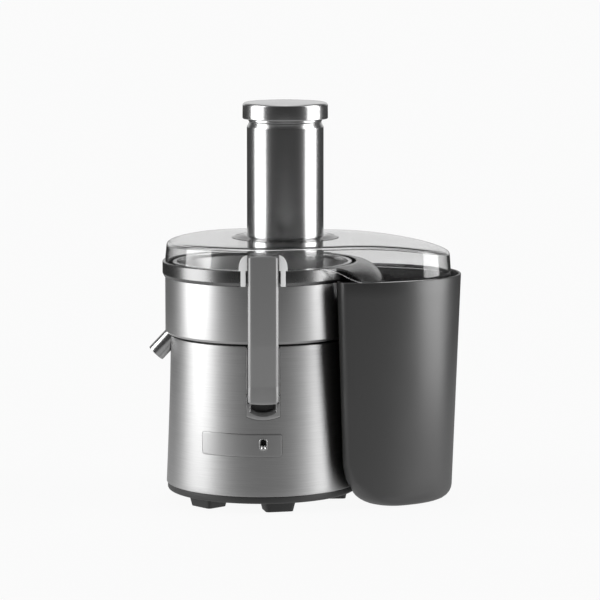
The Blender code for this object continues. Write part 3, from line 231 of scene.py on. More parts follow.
def grid_faces(rows, columns, loop_rows=False, loop_columns=False):
    """Quads between neighbouring rows and columns; a loop joins the last one to the first."""
    row = np.arange(rows if loop_rows else rows - 1)[:, None]
    column = np.arange(columns if loop_columns else columns - 1)[None, :]
    below = row * columns
    above = (row + 1) % rows * columns
    beside = (column + 1) % columns
    quads = np.broadcast_arrays(below + column, below + beside, above + beside, above + column)
    return np.stack(quads, -1).reshape(-1, 4)


def sharpen(mesh, angle=35):
    """Shades a mesh smooth, with edges sharper than the angle kept as edges."""
    mesh.shade_smooth()
    mesh.set_sharp_from_angle(angle=math.radians(angle))


def solid(name, points, faces, angle=35):
    """A mesh object of points and faces: doubles are merged and faces turned outwards."""
    mesh = bpy.data.meshes.new(name)
    mesh.from_pydata(points.reshape(-1, 3).tolist(), [], [list(face) for face in faces])
    work = bmesh.new()
    work.from_mesh(mesh)
    bmesh.ops.remove_doubles(work, verts=work.verts, dist=1e-6)
    bmesh.ops.recalc_face_normals(work, faces=work.faces)
    work.to_mesh(mesh)
    work.free()
    sharpen(mesh, angle)
    piece = bpy.data.objects.new(name, mesh)
    bpy.context.scene.collection.objects.link(piece)
    return piece


def lathe(name, corners, centre, steps=192, plan=None):
    """A turned shape: a closed outline of (radius, height, rounding) corners carried round an upright axis.
    A plan of unit distances by angle makes it other than round."""
    line = rounded(corners)
    turn = np.arange(steps) * 2 * math.pi / steps
    if plan is None:
        plan = np.stack([np.cos(turn), np.sin(turn)], 1)
    points = np.empty((len(line), len(plan), 3))
    points[..., 0] = centre[0] + line[:, 0:1] * plan[None, :, 0]
    points[..., 1] = centre[1] + line[:, 0:1] * plan[None, :, 1]
    points[..., 2] = line[:, 1:2]
    return solid(name, points, grid_faces(len(line), len(plan), True, True))


def prism(name, line, along, low, high):
    """A flat outline given thickness from low to high along axis 0, 1 or 2; its two numbers lie on the
    other two axes in their order."""
    line = line[np.linalg.norm(line - np.roll(line, 1, 0), axis=1) > 1e-8]
    count = len(line)
    points = np.empty((2, count, 3))
    points[..., [axis for axis in range(3) if axis != along]] = line
    points[0, :, along] = low
    points[1, :, along] = high
    faces = [range(count), range(count, 2 * count), *grid_faces(2, count, False, True)]
    return solid(name, points, faces)


def block(name, low, high):
    """A plain box between two corners, used as a cutter."""
    outline = np.array([(low[0], low[1]), (high[0], low[1]), (high[0], high[1]), (low[0], high[1])])
    return prism(name, outline, 2, low[2], high[2])


def settle(piece):
    """Makes a piece's modifiers part of its mesh."""
    bpy.context.view_layer.update()
    evaluated = piece.evaluated_get(bpy.context.evaluated_depsgraph_get())
    mesh = bpy.data.meshes.new_from_object(evaluated)
    piece.modifiers.clear()
    piece.data = mesh
    sharpen(mesh)


def carve(piece, *cutters, operation="DIFFERENCE"):
    """Cuts a piece with each cutter in turn, and removes the cutters."""
    for cutter in cutters:
        boolean = piece.modifiers.new("carve", "BOOLEAN")
        boolean.operation = operation
        boolean.solver = "EXACT"
        boolean.object = cutter
    settle(piece)
    for cutter in cutters:
        bpy.data.objects.remove(cutter)


def soften(piece, width, segments=2, angle=50):
    """Rounds a piece's sharp edges."""
    bevel = piece.modifiers.new("soften", "BEVEL")
    bevel.width = width
    bevel.segments = segments
    bevel.limit_method = "ANGLE"
    bevel.angle_limit = math.radians(angle)
    settle(piece)


def moulded(name, shade, grain, roughness, bump, gloss_level=0.5):
    """Injection-moulded plastic: one body colour and an eroded grain, which gives a soft, broken gloss.
    The grain is drawn at its real pitch, in metres."""
    plastic, tree, shader = material(name, {"Base Color": linear(shade), "IOR": 1.52,
                                             "Specular IOR Level": gloss_level})
    place = node(tree, "ShaderNodeTexCoord").outputs["Object"]
    fine = node(tree, "ShaderNodeTexNoise", {"Scale": 1 / grain, "Detail": 2.0}, {"Vector": place})
    cloud = node(tree, "ShaderNodeTexNoise", {"Scale": 18.0, "Detail": 3.0}, {"Vector": place})
    gloss = node(tree, "ShaderNodeMapRange", {"To Min": roughness - 0.05, "To Max": roughness + 0.05},
                 {"Value": cloud.outputs["Fac"]})
    relief = node(tree, "ShaderNodeBump", {"Strength": bump, "Distance": grain / 4},
                  {"Height": fine.outputs["Fac"]})
    tree.links.new(gloss.outputs[0], shader.inputs["Roughness"])
    tree.links.new(relief.outputs[0], shader.inputs["Normal"])
    return plastic


BLACK_ABS = moulded("black_abs", "#2e2e2e", 0.6 * MM, 0.42, 0.25)


def base_plate():
    """The dish, its ring wall, the air slots and the screw holes."""
    low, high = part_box("base_plate")
    radius = (high.x - low.x) / 2
    wall = 4 * MM
    floor_top = low.z + 3 * MM
    ring = 54 * MM
    edge = SLEEVE_LOW.z - GAP
    plate = lathe("base_skirt", [
        (0, floor_top, 0), (ring - 3 * MM, floor_top, 0.5 * MM), (ring - 3 * MM, high.z, 0.4 * MM),
        (ring, high.z, 0.4 * MM), (ring, floor_top, 0.5 * MM), (radius - wall, floor_top, 1 * MM),
        (radius - wall, edge, 0.4 * MM), (radius, edge, 0.4 * MM), (radius, low.z, 2.4 * MM),
        (0, low.z, 0)], (AXIS_X, 0))
    slots = 8
    cutters = []
    for index in range(slots):
        turn = 2 * math.pi * index / slots
        line = rounded([(a * MM, b * MM, 1.8 * MM) for a, b in ((16, -2), (42, -2), (42, 2), (16, 2))])
        spin = np.array([(math.cos(turn), math.sin(turn)), (-math.sin(turn), math.cos(turn))])
        cutters.append(prism("slot", line @ spin + (AXIS_X, 0), 2, 0, floor_top + MM))
    for number in range(1, 5):
        bottom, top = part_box(f"base_screw_{number}")
        middle = (bottom + top) / 2
        hole = (top.x - bottom.x) / 2 + GAP
        cutters.append(lathe("hole", [(0, 0, 0), (hole, 0, 0), (hole, floor_top + MM, 0),
                                      (0, floor_top + MM, 0)], middle, 32))
    carve(plate, *cutters)
    plate.data.materials.append(BLACK_ABS)
    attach(plate, "base")
    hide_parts("base_plate")


base_plate()

# Five feet of black rubber, compression moulded: tapered blocks with round edges and a dull skin.
RUBBER = moulded("black_rubber", "#1d1d1d", 0.4 * MM, 0.62, 0.35)


def feet():
    """Each foot is a rounded square plan carried down a tapering side, turned to face the axis."""
    depth = 28 * MM
    width = 33 * MM
    for number in range(1, 6):
        low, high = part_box(f"foot_{number}")
        middle = (low + high) / 2
        turn = math.atan2(middle.y, middle.x - AXIS_X)
        plan = rounded([(a * depth / 2, b * width / 2, 4 * MM)
                        for a, b in ((1, 1), (-1, 1), (-1, -1), (1, -1))])
        spin = np.array([(math.cos(turn), math.sin(turn)), (-math.sin(turn), math.cos(turn))])
        foot = lathe(f"rubber_foot_{number}", [
            (0, high.z, 0), (1, high.z, 0), (0.86, low.z, 1.6 * MM), (0.66, low.z, 0),
            (0.6, low.z + 1.2 * MM, 0), (0, low.z + 1.2 * MM, 0)], middle, plan=plan @ spin)
        foot.data.materials.append(RUBBER)
        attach(foot, "base")
        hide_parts(f"foot_{number}")


feet()


# ---- Motor housing ---------------------------------------------------------------------------------
# A sleeve of stainless sheet, rolled and brushed round the body. The scratches run level, so each light
# becomes a tall soft streak, with a fine level grain across it.
def brushed(name, shade, roughness, stretch, line, contrast, centre, relief=0.08):
    """Stainless steel brushed round an upright axis through `centre`. The scratches are noise squeezed to
    `line` in height and drawn out to 35 mm in length; `stretch` is how much further they smear a light
    upwards than sideways, and `relief` how deep they are."""
    steel, tree, shader = material(name, {
        "Metallic": 1.0, "Anisotropic": stretch, "Anisotropic Rotation": 0.25})
    place = node(tree, "ShaderNodeTexCoord").outputs["Object"]
    about = node(tree, "ShaderNodeMapping", {"Location": (-centre[0], -centre[1], 0)}, {"Vector": place})
    length = 1 / (35 * MM)
    drawn = node(tree, "ShaderNodeMapping", {"Scale": (length, length, 1 / line)},
                 {"Vector": about.outputs[0]})
    scratch = node(tree, "ShaderNodeTexNoise", {"Scale": 1.0, "Detail": 3.0, "Roughness": 0.7},
                   {"Vector": drawn.outputs[0]})
    coarse = node(tree, "ShaderNodeMapping", {"Scale": (length / 2, length / 2, 0.4 / line)},
                  {"Vector": about.outputs[0]})
    wear = node(tree, "ShaderNodeTexNoise", {"Scale": 1.0, "Detail": 2.0}, {"Vector": coarse.outputs[0]})
    tone = node(tree, "ShaderNodeMapRange",
                {"From Min": 0.3, "From Max": 0.7, "To Min": 1 - contrast, "To Max": 1.0},
                {"Value": scratch.outputs["Fac"]})
    colour = node(tree, "ShaderNodeMix", {"Factor": 1.0, "A": linear(shade)}, {"B": tone.outputs[0]},
                  data_type="RGBA", blend_type="MULTIPLY")
    gloss = node(tree, "ShaderNodeMapRange", {"To Min": 0.94 * roughness, "To Max": 1.06 * roughness},
                 {"Value": wear.outputs["Fac"]})
    grooves = node(tree, "ShaderNodeBump", {"Strength": relief, "Distance": 0.03 * MM},
                   {"Height": scratch.outputs["Fac"]})
    along = node(tree, "ShaderNodeTangent", direction_type="RADIAL", axis="Z")
    tree.links.new(colour.outputs["Result"], shader.inputs["Base Color"])
    tree.links.new(gloss.outputs[0], shader.inputs["Roughness"])
    tree.links.new(grooves.outputs[0], shader.inputs["Normal"])
    tree.links.new(along.outputs[0], shader.inputs["Tangent"])
    return steel


BODY_STEEL = brushed("brushed_stainless_sleeve", "#c4c4c4", 0.46, 0.5, 0.7 * MM, 0.14, (AXIS_X, 0))
TOP_RADIUS = 94.5 * MM
BOTTOM_RADIUS = (SLEEVE_HIGH.x - SLEEVE_LOW.x) / 2
SLEEVE_WALL = 1.5 * MM


def sleeve_radius(z):
    """Outer radius: the top radius plus the flare times the drop, as a share of the height, to 1.4."""
    share = np.clip((SLEEVE_HIGH.z - z) / (SLEEVE_HIGH.z - SLEEVE_LOW.z), 0, 1)
    return TOP_RADIUS + (BOTTOM_RADIUS - TOP_RADIUS) * share ** 1.4


def sleeve_side(inset, rounding):
    """Corners down the sleeve's side, with its two ends rounded."""
    heights = np.linspace(SLEEVE_HIGH.z, SLEEVE_LOW.z, 25)
    ends = np.zeros(25)
    ends[[0, -1]] = rounding
    return list(zip(sleeve_radius(heights) - inset, heights, ends))


def spout_slot():
    """A cutter for the slot that the spout drops into: half an ellipse with upright sides."""
    low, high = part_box("juice_spout")
    half = (high.y - low.y) / 2 + 1 * MM
    bottom = 152.6 * MM
    middle = bottom + 14.4 * MM
    turn = np.linspace(math.pi, 2 * math.pi, 25)
    line = np.stack([half * np.cos(turn), middle + (middle - bottom) * np.sin(turn)], 1)
    line = np.concatenate([line, [(half, 0.2), (-half, 0.2)]])
    return prism("slot", line, 0, AXIS_X - 0.12, AXIS_X - 0.07)


def recess_outline(half, bottom, top):
    """Front view of a latch recess: square at the top, its bottom an arc that sags 3.4 mm."""
    across = np.linspace(-half, half, 17)
    sag = 3.4 * MM * (across / half) ** 2
    arc = np.stack([AXIS_X + across, bottom + sag], 1)
    return np.concatenate([arc, [(AXIS_X + half, top), (AXIS_X - half, top)]])


def latch_window(side):
    """A cutter for the window that a latch recess fills."""
    low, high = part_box(f"latch_recess_{side}")
    depth = (-0.12, high.y + GAP) if side == "front" else (low.y - GAP, 0.12)
    return prism("window", recess_outline((high.x - low.x) / 2 + GAP, low.z - GAP, 0.2), 1, *depth)


def motor_housing():
    """The sleeve with its windows for the latches, the panel, the spout and the cord's collar."""
    inner = sleeve_side(SLEEVE_WALL, 0.5 * MM)[::-1]
    sleeve = lathe("sleeve", sleeve_side(0, 0.7 * MM) + inner, (AXIS_X, 0), 288)
    low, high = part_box("control_panel")
    window = rounded([(x, z, 2.8 * MM) for x, z in (
        (low.x - GAP, low.z - GAP), (high.x + GAP, low.z - GAP), (high.x + GAP, high.z + GAP),
        (low.x - GAP, high.z + GAP))])
    inlet_low, inlet_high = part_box("cord_inlet")
    middle = (inlet_low + inlet_high) / 2
    turn = np.linspace(0, 2 * math.pi, 33)[:-1]
    hole = np.stack([middle.x + 8.3 * MM * np.cos(turn), middle.z + 8.3 * MM * np.sin(turn)], 1)
    carve(sleeve, spout_slot(), latch_window("front"), latch_window("rear"),
          prism("window", window, 1, -0.12, -0.05), prism("hole", hole, 1, 0.07, 0.12))
    sleeve.data.materials.append(BODY_STEEL)
    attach(sleeve, "base")
    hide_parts("motor_housing")


motor_housing()


# ---- Deck under the bowl ---------------------------------------------------------------------------
# A black ABS moulding pressed into the top of the sleeve. Its low ring centres the bowl, and its hub
# stands up through the bowl's middle round the shaft.
def top_deck():
    low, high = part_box("top_deck")
    edge = (high.x - low.x) / 2
    wall = 2.5 * MM
    top = SLEEVE_HIGH.z - 2.7 * MM
    under = top - wall
    hub = 25.4 * MM
    shaft = 12 * MM
    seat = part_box("collector_bowl")[0].z - GAP
    deck = lathe("deck", [
        (shaft, high.z, 0.5 * MM), (hub, high.z, 1 * MM), (hub, top, 1 * MM), (edge - 9 * MM, top, 0.4 * MM),
        (edge - 9 * MM, seat, 0.5 * MM), (edge - 5 * MM, seat, 0.5 * MM), (edge - 5 * MM, top, 0.4 * MM),
        (edge, top, 0.5 * MM), (edge, low.z, 0.3 * MM), (edge - wall, low.z, 0.3 * MM),
        (edge - wall, under, 1 * MM),
        (hub - wall, under, 1 * MM), (hub - wall, high.z - wall, 0.5 * MM), (shaft, high.z - wall, 0.3 * MM)],
        (AXIS_X, 0))
    carve(deck, spout_slot(), latch_window("front"), latch_window("rear"))
    deck.data.materials.append(BLACK_ABS)
    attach(deck, "base")
    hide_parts("top_deck")


top_deck()


# ---- Latch recesses --------------------------------------------------------------------------------
# A pressed steel pocket in the sleeve for each latch arm. Under the arm's end it funnels in to an
# opening that lets a finger behind the arm, with a thin black sheet just inside it as painted shade, so
# that the hole reads dark. The pocket is bead blasted, which leaves an even dull grey.
def blasted(name, shade, roughness, grain):
    """Bead-blasted metal: tiny dimples, drawn at `grain` apart, spread every reflection."""
    metal, tree, shader = material(name, {"Base Color": linear(shade), "Metallic": 1.0})
    place = node(tree, "ShaderNodeTexCoord").outputs["Object"]
    dimple = node(tree, "ShaderNodeTexNoise", {"Scale": 1 / grain, "Detail": 2.0}, {"Vector": place})
    cloud = node(tree, "ShaderNodeTexNoise", {"Scale": 25.0, "Detail": 2.0}, {"Vector": place})
    gloss = node(tree, "ShaderNodeMapRange", {"To Min": roughness - 0.04, "To Max": roughness + 0.04},
                 {"Value": cloud.outputs["Fac"]})
    relief = node(tree, "ShaderNodeBump", {"Strength": 0.15, "Distance": grain / 5},
                  {"Height": dimple.outputs["Fac"]})
    tree.links.new(gloss.outputs[0], shader.inputs["Roughness"])
    tree.links.new(relief.outputs[0], shader.inputs["Normal"])
    return metal


CAST = blasted("blasted_steel", "#bebebe", 0.45, 0.3 * MM)


def loft(name, rings, closed=True, caps=False):
    """Rings of points, each joined to the next; the last joins the first unless caps close the ends."""
    rings = np.asarray(rings)
    count = rings.shape[1]
    faces = [*grid_faces(len(rings), count, closed and not caps, True)]
    if caps:
        faces += [range(count), range(count * (len(rings) - 1), count * len(rings))]
    return solid(name, rings, faces)


def latch_recess(side):
    """The recess's block cut to the sleeve's round, less a room for the arm and a funnel below it. The
    rear one is the front one turned half way round the body's axis."""
    low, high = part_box(f"latch_recess_{side}")
    half = (high.x - low.x) / 2
    wall = 0.9 * MM
    shoulder = 114 * MM
    recess = prism(f"recess_{side}", recess_outline(half, low.z, high.z), 1, -0.107, -82.2 * MM)
    core = lathe("core", [(0, SLEEVE_HIGH.z + MM, 0), (TOP_RADIUS, SLEEVE_HIGH.z + MM, 0),
                          *sleeve_side(0.05 * MM, 0), (0, SLEEVE_LOW.z, 0)], (AXIS_X, 0), 288)
    carve(recess, core, operation="INTERSECT")
    room = block("room", (AXIS_X - half + wall, -0.11, shoulder - MM), (AXIS_X + half - wall, -84 * MM, 0.2))

    def ring(y, reach, bottom):
        return np.insert(recess_outline(reach, bottom, shoulder), 1, y, 1)

    mouth = ring(-92 * MM, 12 * MM, low.z + 7 * MM)
    mouth[:, 2] = np.maximum(mouth[:, 2], low.z + 6.4 * MM)
    funnel = loft("funnel", [
        ring(-0.11, half - 0.4 * MM, low.z + 0.5 * MM), ring(-99.5 * MM, half - wall, low.z + MM),
        mouth, mouth + (0, 7.5 * MM, 0)], caps=True)
    carve(recess, room, funnel)
    soften(recess, 0.3 * MM)
    # A thin black sheet behind the funnel's mouth: painted shade, standing in for the dark inside the hole.
    shade_sheet = block(f"well_{side}", (AXIS_X - 13 * MM, -86 * MM, low.z + 5 * MM),
                 (AXIS_X + 13 * MM, -85 * MM, shoulder))
    for piece, finish, slot in ((recess, CAST, "satin_metal"), (shade_sheet, BLACK_ABS, "dark_plastic")):
        if side == "rear":
            piece.data.transform(Matrix.Translation((2 * AXIS_X, 0, 0)) @ Matrix.Rotation(math.pi, 4, "Z"))
        piece.data.materials.append(finish)
        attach(piece, "base")
        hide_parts(f"latch_recess_{side}")


latch_recess("front")
latch_recess("rear")


# ---- Latch arms ------------------------------------------------------------------------------------
# Each arm is a casting that swings on a pin near its foot and pulls the lid down. Its face is ground and
# satin finished, with polished bevels down both sides and a gently arched top and bottom.
def satin(name, shade, roughness, direction, metallic=1.0):
    """Satin-ground metal: a faint grain along `direction`, which names an axis, drawn 0.5 mm apart. Less
    than fully metallic, it has the milky evenness of a lacquered surface."""
    metal, tree, shader = material(name, {"Base Color": linear(shade), "Metallic": metallic})
    place = node(tree, "ShaderNodeTexCoord").outputs["Object"]
    scale = [1 / (0.5 * MM)] * 3
    scale["XYZ".index(direction)] = 1 / (30 * MM)
    drawn = node(tree, "ShaderNodeMapping", {"Scale": scale}, {"Vector": place})
    grain = node(tree, "ShaderNodeTexNoise", {"Scale": 1.0, "Detail": 2.0}, {"Vector": drawn.outputs[0]})
    gloss = node(tree, "ShaderNodeMapRange", {"To Min": roughness - 0.06, "To Max": roughness + 0.06},
                 {"Value": grain.outputs["Fac"]})
    relief = node(tree, "ShaderNodeBump", {"Strength": 0.06, "Distance": 0.05 * MM},
                  {"Height": grain.outputs["Fac"]})
    tree.links.new(gloss.outputs[0], shader.inputs["Roughness"])
    tree.links.new(relief.outputs[0], shader.inputs["Normal"])
    return metal


ARM_METAL = satin("satin_casting", "#8c8c8c", 0.36, "Z", 0.45)


def latch_arm(side):
    """The side view's outline carried across the width. Along each side it is drawn in step by step, which
    makes a chamfer with soft edges, and the face sags and both ends arch with the square of the distance
    from the middle."""
    low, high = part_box(f"latch_arm_{side}")
    pivot = joints[f"{side}_latch_swing"]["pos_m"]
    half = (high.x - low.x) / 2
    bevel = 2.5 * MM
    front, back = -109 * MM, -104 * MM
    pivot_y, pivot_z = -abs(pivot[1]), pivot[2]
    bend = 173.3 * MM
    knuckle = 5.6 * MM
    turn = np.radians(np.linspace(-60, 110, 15))
    round_foot = np.stack([pivot_y + knuckle * np.cos(turn), pivot_z + knuckle * np.sin(turn), 0 * turn], 1)
    corners = [
        (front, high.z, 1.8 * MM), (front, bend, 60 * MM), (front + 2.6 * MM, pivot_z + 10.5 * MM, 40 * MM),
        (front + 2.6 * MM, low.z, 3 * MM), (pivot_y - 2 * MM, low.z, 1 * MM), *round_foot,
        (pivot_y - 3.2 * MM, pivot_z + 9 * MM, 2 * MM), (back + 2.6 * MM, pivot_z + 16 * MM, 5 * MM),
        (back, bend, 30 * MM), (back, high.z, 0.8 * MM)]
    edge = bevel * np.array([0.0, 0.04, 0.14, 0.9, 1.0])
    drop = bevel * np.array([0.86, 0.72, 0.6, 0.06, 0.0])
    flat = np.linspace(1, -1, 19)[1:-1] * (half - bevel - 0.4 * MM)
    across = np.concatenate([half - edge, flat, -half + edge[::-1]])
    inset = np.concatenate([drop, 0 * flat, drop[::-1]])
    lines = np.array([rounded(corners, 6, step) for step in inset])
    points = np.empty((*lines.shape[:2], 3))
    points[..., 0] = (low.x + high.x) / 2 + across[:, None]
    points[..., 1:] = lines
    share = (across / half)[:, None] ** 2
    height = points[..., 2].copy()
    near_top = np.clip((height - high.z + 9 * MM) / (9 * MM), 0, 1)
    near_bottom = np.clip((low.z + 9 * MM - height) / (9 * MM), 0, 1)
    points[..., 1] += 1.0 * MM * share * np.clip((height - pivot_z) / (10 * MM), 0, 1)
    points[..., 2] += share * (1.2 * MM * near_bottom - 0.9 * MM * near_top)
    if side == "rear":
        points[..., 1] *= -1
    arm = loft(f"arm_{side}", points, caps=True)
    turn = np.linspace(0, 2 * math.pi, 33)[:-1]
    bore = np.stack([pivot[1] + 2.3 * MM * np.cos(turn), pivot_z + 2.3 * MM * np.sin(turn)], 1)
    carve(arm, prism("bore", bore, 0, low.x - MM, high.x + MM))
    arm.data.materials.append(ARM_METAL)
    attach(arm, f"{side}_latch")
    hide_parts(f"latch_arm_{side}")


latch_arm("front")
latch_arm("rear")

# ---- Control panel ---------------------------------------------------------------------------------
# A pressed and satin-finished plate, curved like the sleeve and let into it, with its edge rolled over.
PANEL_METAL = satin("satin_plate", "#b4b4b4", 0.42, "X")


def control_panel():
    """A shell that follows the sleeve, kept where the panel's outline meets it."""
    low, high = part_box("control_panel")
    corner = 2.5 * MM
    heights = np.linspace(high.z + 4 * MM, low.z - 4 * MM, 12)
    proud = sleeve_radius(heights) + 0.3 * MM
    back = proud - 1.7 * MM
    panel = lathe("panel", [*zip(proud, heights, 0 * heights), *zip(back[::-1], heights[::-1], 0 * heights)],
                  (AXIS_X, 0), 288)
    outline = rounded([(low.x, low.z, corner), (high.x, low.z, corner), (high.x, high.z, corner),
                       (low.x, high.z, corner)])
    carve(panel, prism("outline", outline, 1, -0.12, -0.03), operation="INTERSECT")
    soften(panel, 0.45 * MM, 3)
    bezel_low, bezel_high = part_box("toggle_bezel")
    width = (bezel_high.x - bezel_low.x) / 2
    hole = rounded([(x, z, width) for x, z in (
        (bezel_low.x, bezel_low.z), (bezel_high.x, bezel_low.z), (bezel_high.x, bezel_high.z),
        (bezel_low.x, bezel_high.z))], 12)
    carve(panel, prism("hole", hole, 1, -0.12, -0.07))
    panel.data.materials.append(PANEL_METAL)
    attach(panel, "base")
    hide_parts("control_panel")


control_panel()


# ---- Switch ----------------------------------------------------------------------------------------
# A bat-lever toggle: a chrome-plated brass lever with a round end, in an oval chrome-plated bezel.
def polished(name, shade, roughness, haze):
    """Polished or plated metal: a near mirror whose gloss varies a little with handling. `haze` is how
    far the roughness wanders."""
    metal, tree, shader = material(name, {"Base Color": linear(shade), "Metallic": 1.0})
    place = node(tree, "ShaderNodeTexCoord").outputs["Object"]
    cloud = node(tree, "ShaderNodeTexNoise", {"Scale": 30.0, "Detail": 4.0}, {"Vector": place})
    gloss = node(tree, "ShaderNodeMapRange", {"To Min": roughness, "To Max": roughness + haze},
                 {"Value": cloud.outputs["Fac"]})
    tree.links.new(gloss.outputs[0], shader.inputs["Roughness"])
    return metal


CHROME = polished("chrome_plate", "#d8d8d8", 0.06, 0.05)


def toggle():
    """The bezel is an oval ring with round edges; the lever is turned and leaned over on its pivot."""
    low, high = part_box("toggle_bezel")
    wall = 1.3 * MM
    roll = 0.45 * MM
    width = (high.x - low.x) / 2

    def ring(inset, y):
        line = rounded([(x, z, width - inset) for x, z in (
            (low.x + inset, low.z + inset), (high.x - inset, low.z + inset), (high.x - inset, high.z - inset),
            (low.x + inset, high.z - inset))], 12)
        return np.insert(line, 1, y, 1)

    edge = np.radians(np.linspace(0, 90, 5))
    rings = [ring(0, high.y)]
    rings += [ring(roll * (1 - math.cos(a)), low.y + roll * (1 - math.sin(a))) for a in edge]
    rings += [ring(wall - roll * (1 - math.cos(a)), low.y + roll * (1 - math.sin(a))) for a in edge[::-1]]
    rings += [ring(wall, high.y)]
    bezel = loft("bezel", rings)
    bezel.data.materials.append(CHROME)
    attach(bezel, "base")
    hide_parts("toggle_bezel")

    pivot = joints["toggle_flip"]["pos_m"]
    drop = math.radians(14.8)
    length = 15.1 * MM
    ball = 2.75 * MM
    lever = lathe("lever", [(0, length, 0), (ball, length, ball), (ball, length - 6 * MM, 4 * MM),
                            (1.3 * MM, 0.6 * MM, 0), (0, 0.6 * MM, 0)], (0, 0), 48)
    lean = Matrix.Translation(pivot) @ Matrix.Rotation(math.pi / 2 + drop, 4, "X")
    lever.data.transform(lean)
    lever.data.materials.append(CHROME)
    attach(lever, "toggle")
    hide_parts("toggle_lever")


toggle()


# ---- Cord collar -----------------------------------------------------------------------------------
# A black ABS bush low at the back, snapped into the sleeve, that the supply cord passes through.
def cord_collar():
    low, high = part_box("cord_inlet")
    middle = (low + high) / 2
    face = high.y - 3 * MM
    collar = lathe("cord_collar", [
        (3.6 * MM, 3 * MM, 1 * MM), (10.4 * MM, 3 * MM, 1.6 * MM), (10.4 * MM, 0, 0.3 * MM),
        (8 * MM, 0, 0.3 * MM), (8 * MM, -10 * MM, 0.4 * MM), (3.6 * MM, -10 * MM, 0.4 * MM)], (0, 0), 64)
    place = Matrix.Translation((middle.x, face, middle.z))
    collar.data.transform(place @ Matrix.Rotation(-math.pi / 2, 4, "X"))
    collar.data.materials.append(BLACK_ABS)
    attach(collar, "base")
    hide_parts("cord_inlet")


cord_collar()

# ---- Motor and other pieces inside -----------------------------------------------------------------
# The series motor, its bearings, screws and switch, and the pieces that turn with the shaft. They keep
# the frame's own shapes and are given the finishes of pressed iron, wound copper, ground steel and so on.
IRON = blasted("pressed_iron", "#4d4d4d", 0.55, 0.5 * MM)
COPPER = satin("enamelled_copper", "#8a4b2c", 0.35, "Z")
GROUND_STEEL = polished("ground_steel", "#bcbcbc", 0.18, 0.08)
CARBON = moulded("pressed_carbon", "#202020", 0.3 * MM, 0.55, 0.3)

INSIDE = [
    (IRON, "lower_motor_bracket", "upper_motor_bracket", "motor_stator", "rotor_core"),
    (COPPER, "lower_field_coil", "upper_field_coil", "commutator"),
    (GROUND_STEEL, "lower_bearing", "upper_bearing", "motor_shaft", "latch_pin_front", "latch_pin_rear",
     *[f"base_screw_{n}" for n in range(1, 5)], *[f"motor_tie_rod_{n}" for n in range(1, 5)]),
    (BLACK_ABS, "switch_body", "brush_holder_left", "brush_holder_right", "cooling_fan", "drive_coupling",
     "basket_hub"),
    (CARBON, "carbon_brush_left", "carbon_brush_right"),
    (RUBBER, "shaft_seal"),
]
for finish, *names in INSIDE:
    for name in names:
        frame["nodes"][name].material_slots[0].material = finish

# ---- Collector bowl --------------------------------------------------------------------------------
# A deep-drawn stainless bowl, brushed round its outside more finely than the body, with a small turned
# bevel round its bottom. Its middle chimney lets the shaft through above the juice.
BOWL_STEEL = brushed("brushed_stainless_bowl", "#c4c4c4", 0.44, 0.5, 0.7 * MM, 0.08, (AXIS_X, 0))
BOWL_LOW, BOWL_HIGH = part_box("collector_bowl")
BOWL_RADIUS = (BOWL_HIGH.x - BOWL_LOW.x) / 2
SPOUT_SLOPE = math.radians(47)
SPOUT_DOWN = np.array([-math.cos(SPOUT_SLOPE), 0, -math.sin(SPOUT_SLOPE)])
SPOUT_TIP = np.array([AXIS_X - 110 * MM, 0, 151 * MM])
SPOUT_RADIUS = 9.4 * MM
SPOUT_WALL = 1.2 * MM


def spout_drill():
    """A cutter the size of the spout's bore, along the spout."""
    length = 42 * MM
    bore = SPOUT_RADIUS - SPOUT_WALL
    drill = lathe("drill", [(0, 0, 0), (bore, 0, 0), (bore, length, 0), (0, length, 0)], (0, 0), 64)
    lean = Matrix.Translation(SPOUT_TIP) @ Matrix.Rotation(math.pi / 2 - SPOUT_SLOPE, 4, "Y")
    drill.data.transform(lean)
    return drill


def collector_bowl():
    wall = 1.5 * MM
    chimney = 26 * MM
    chimney_top = 187.5 * MM
    low, high = BOWL_LOW.z, BOWL_HIGH.z
    inside = BOWL_RADIUS - wall
    bowl = lathe("bowl", [
        (BOWL_RADIUS, high, 0.3 * MM), (BOWL_RADIUS, low + 2.6 * MM, 0.5 * MM),
        (BOWL_RADIUS - 2.4 * MM, low, 0.5 * MM),
        (chimney, low, 1 * MM), (chimney, chimney_top, 0.7 * MM), (chimney + wall, chimney_top, 0.7 * MM),
        (chimney + wall, low + wall, 2 * MM), (inside, low + wall, 4 * MM), (inside, high, 0.3 * MM)],
        (AXIS_X, 0), 288)
    carve(bowl, spout_drill())
    bowl.data.materials.append(BOWL_STEEL)
    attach(bowl, "collector")
    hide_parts("collector_bowl")


collector_bowl()

# ---- Collector band --------------------------------------------------------------------------------
# A heavy ring round the top of the bowl, plated with dark chrome and polished. Its bright edges come from
# the small radii at its top and its chamfered foot.
DARK_CHROME = polished("dark_chrome_plate", "#848484", 0.24, 0.06)
BAND_LOW, BAND_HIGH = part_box("collector_band")
LIP_LOW, LIP_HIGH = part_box("pulp_lip")


def collector_band():
    radius = (AXIS_X - BAND_LOW.x)
    inner = 96.5 * MM
    low, high = BAND_LOW.z, BAND_HIGH.z
    band = lathe("band", [
        (inner, high, 0.5 * MM), (radius, high, 1.2 * MM), (radius, low + 3.2 * MM, 1.2 * MM),
        (radius - 1.6 * MM, low, 0.4 * MM), (inner, low, 0.3 * MM)], (AXIS_X, 0), 288)
    notch = block("notch", (AXIS_X, LIP_LOW.y - GAP, LIP_HIGH.z - 3.2 * MM),
                  (AXIS_X + 120 * MM, LIP_HIGH.y + GAP, 260 * MM))
    carve(band, notch)
    band.data.materials.append(DARK_CHROME)
    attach(band, "collector")
    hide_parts("collector_band")


collector_band()


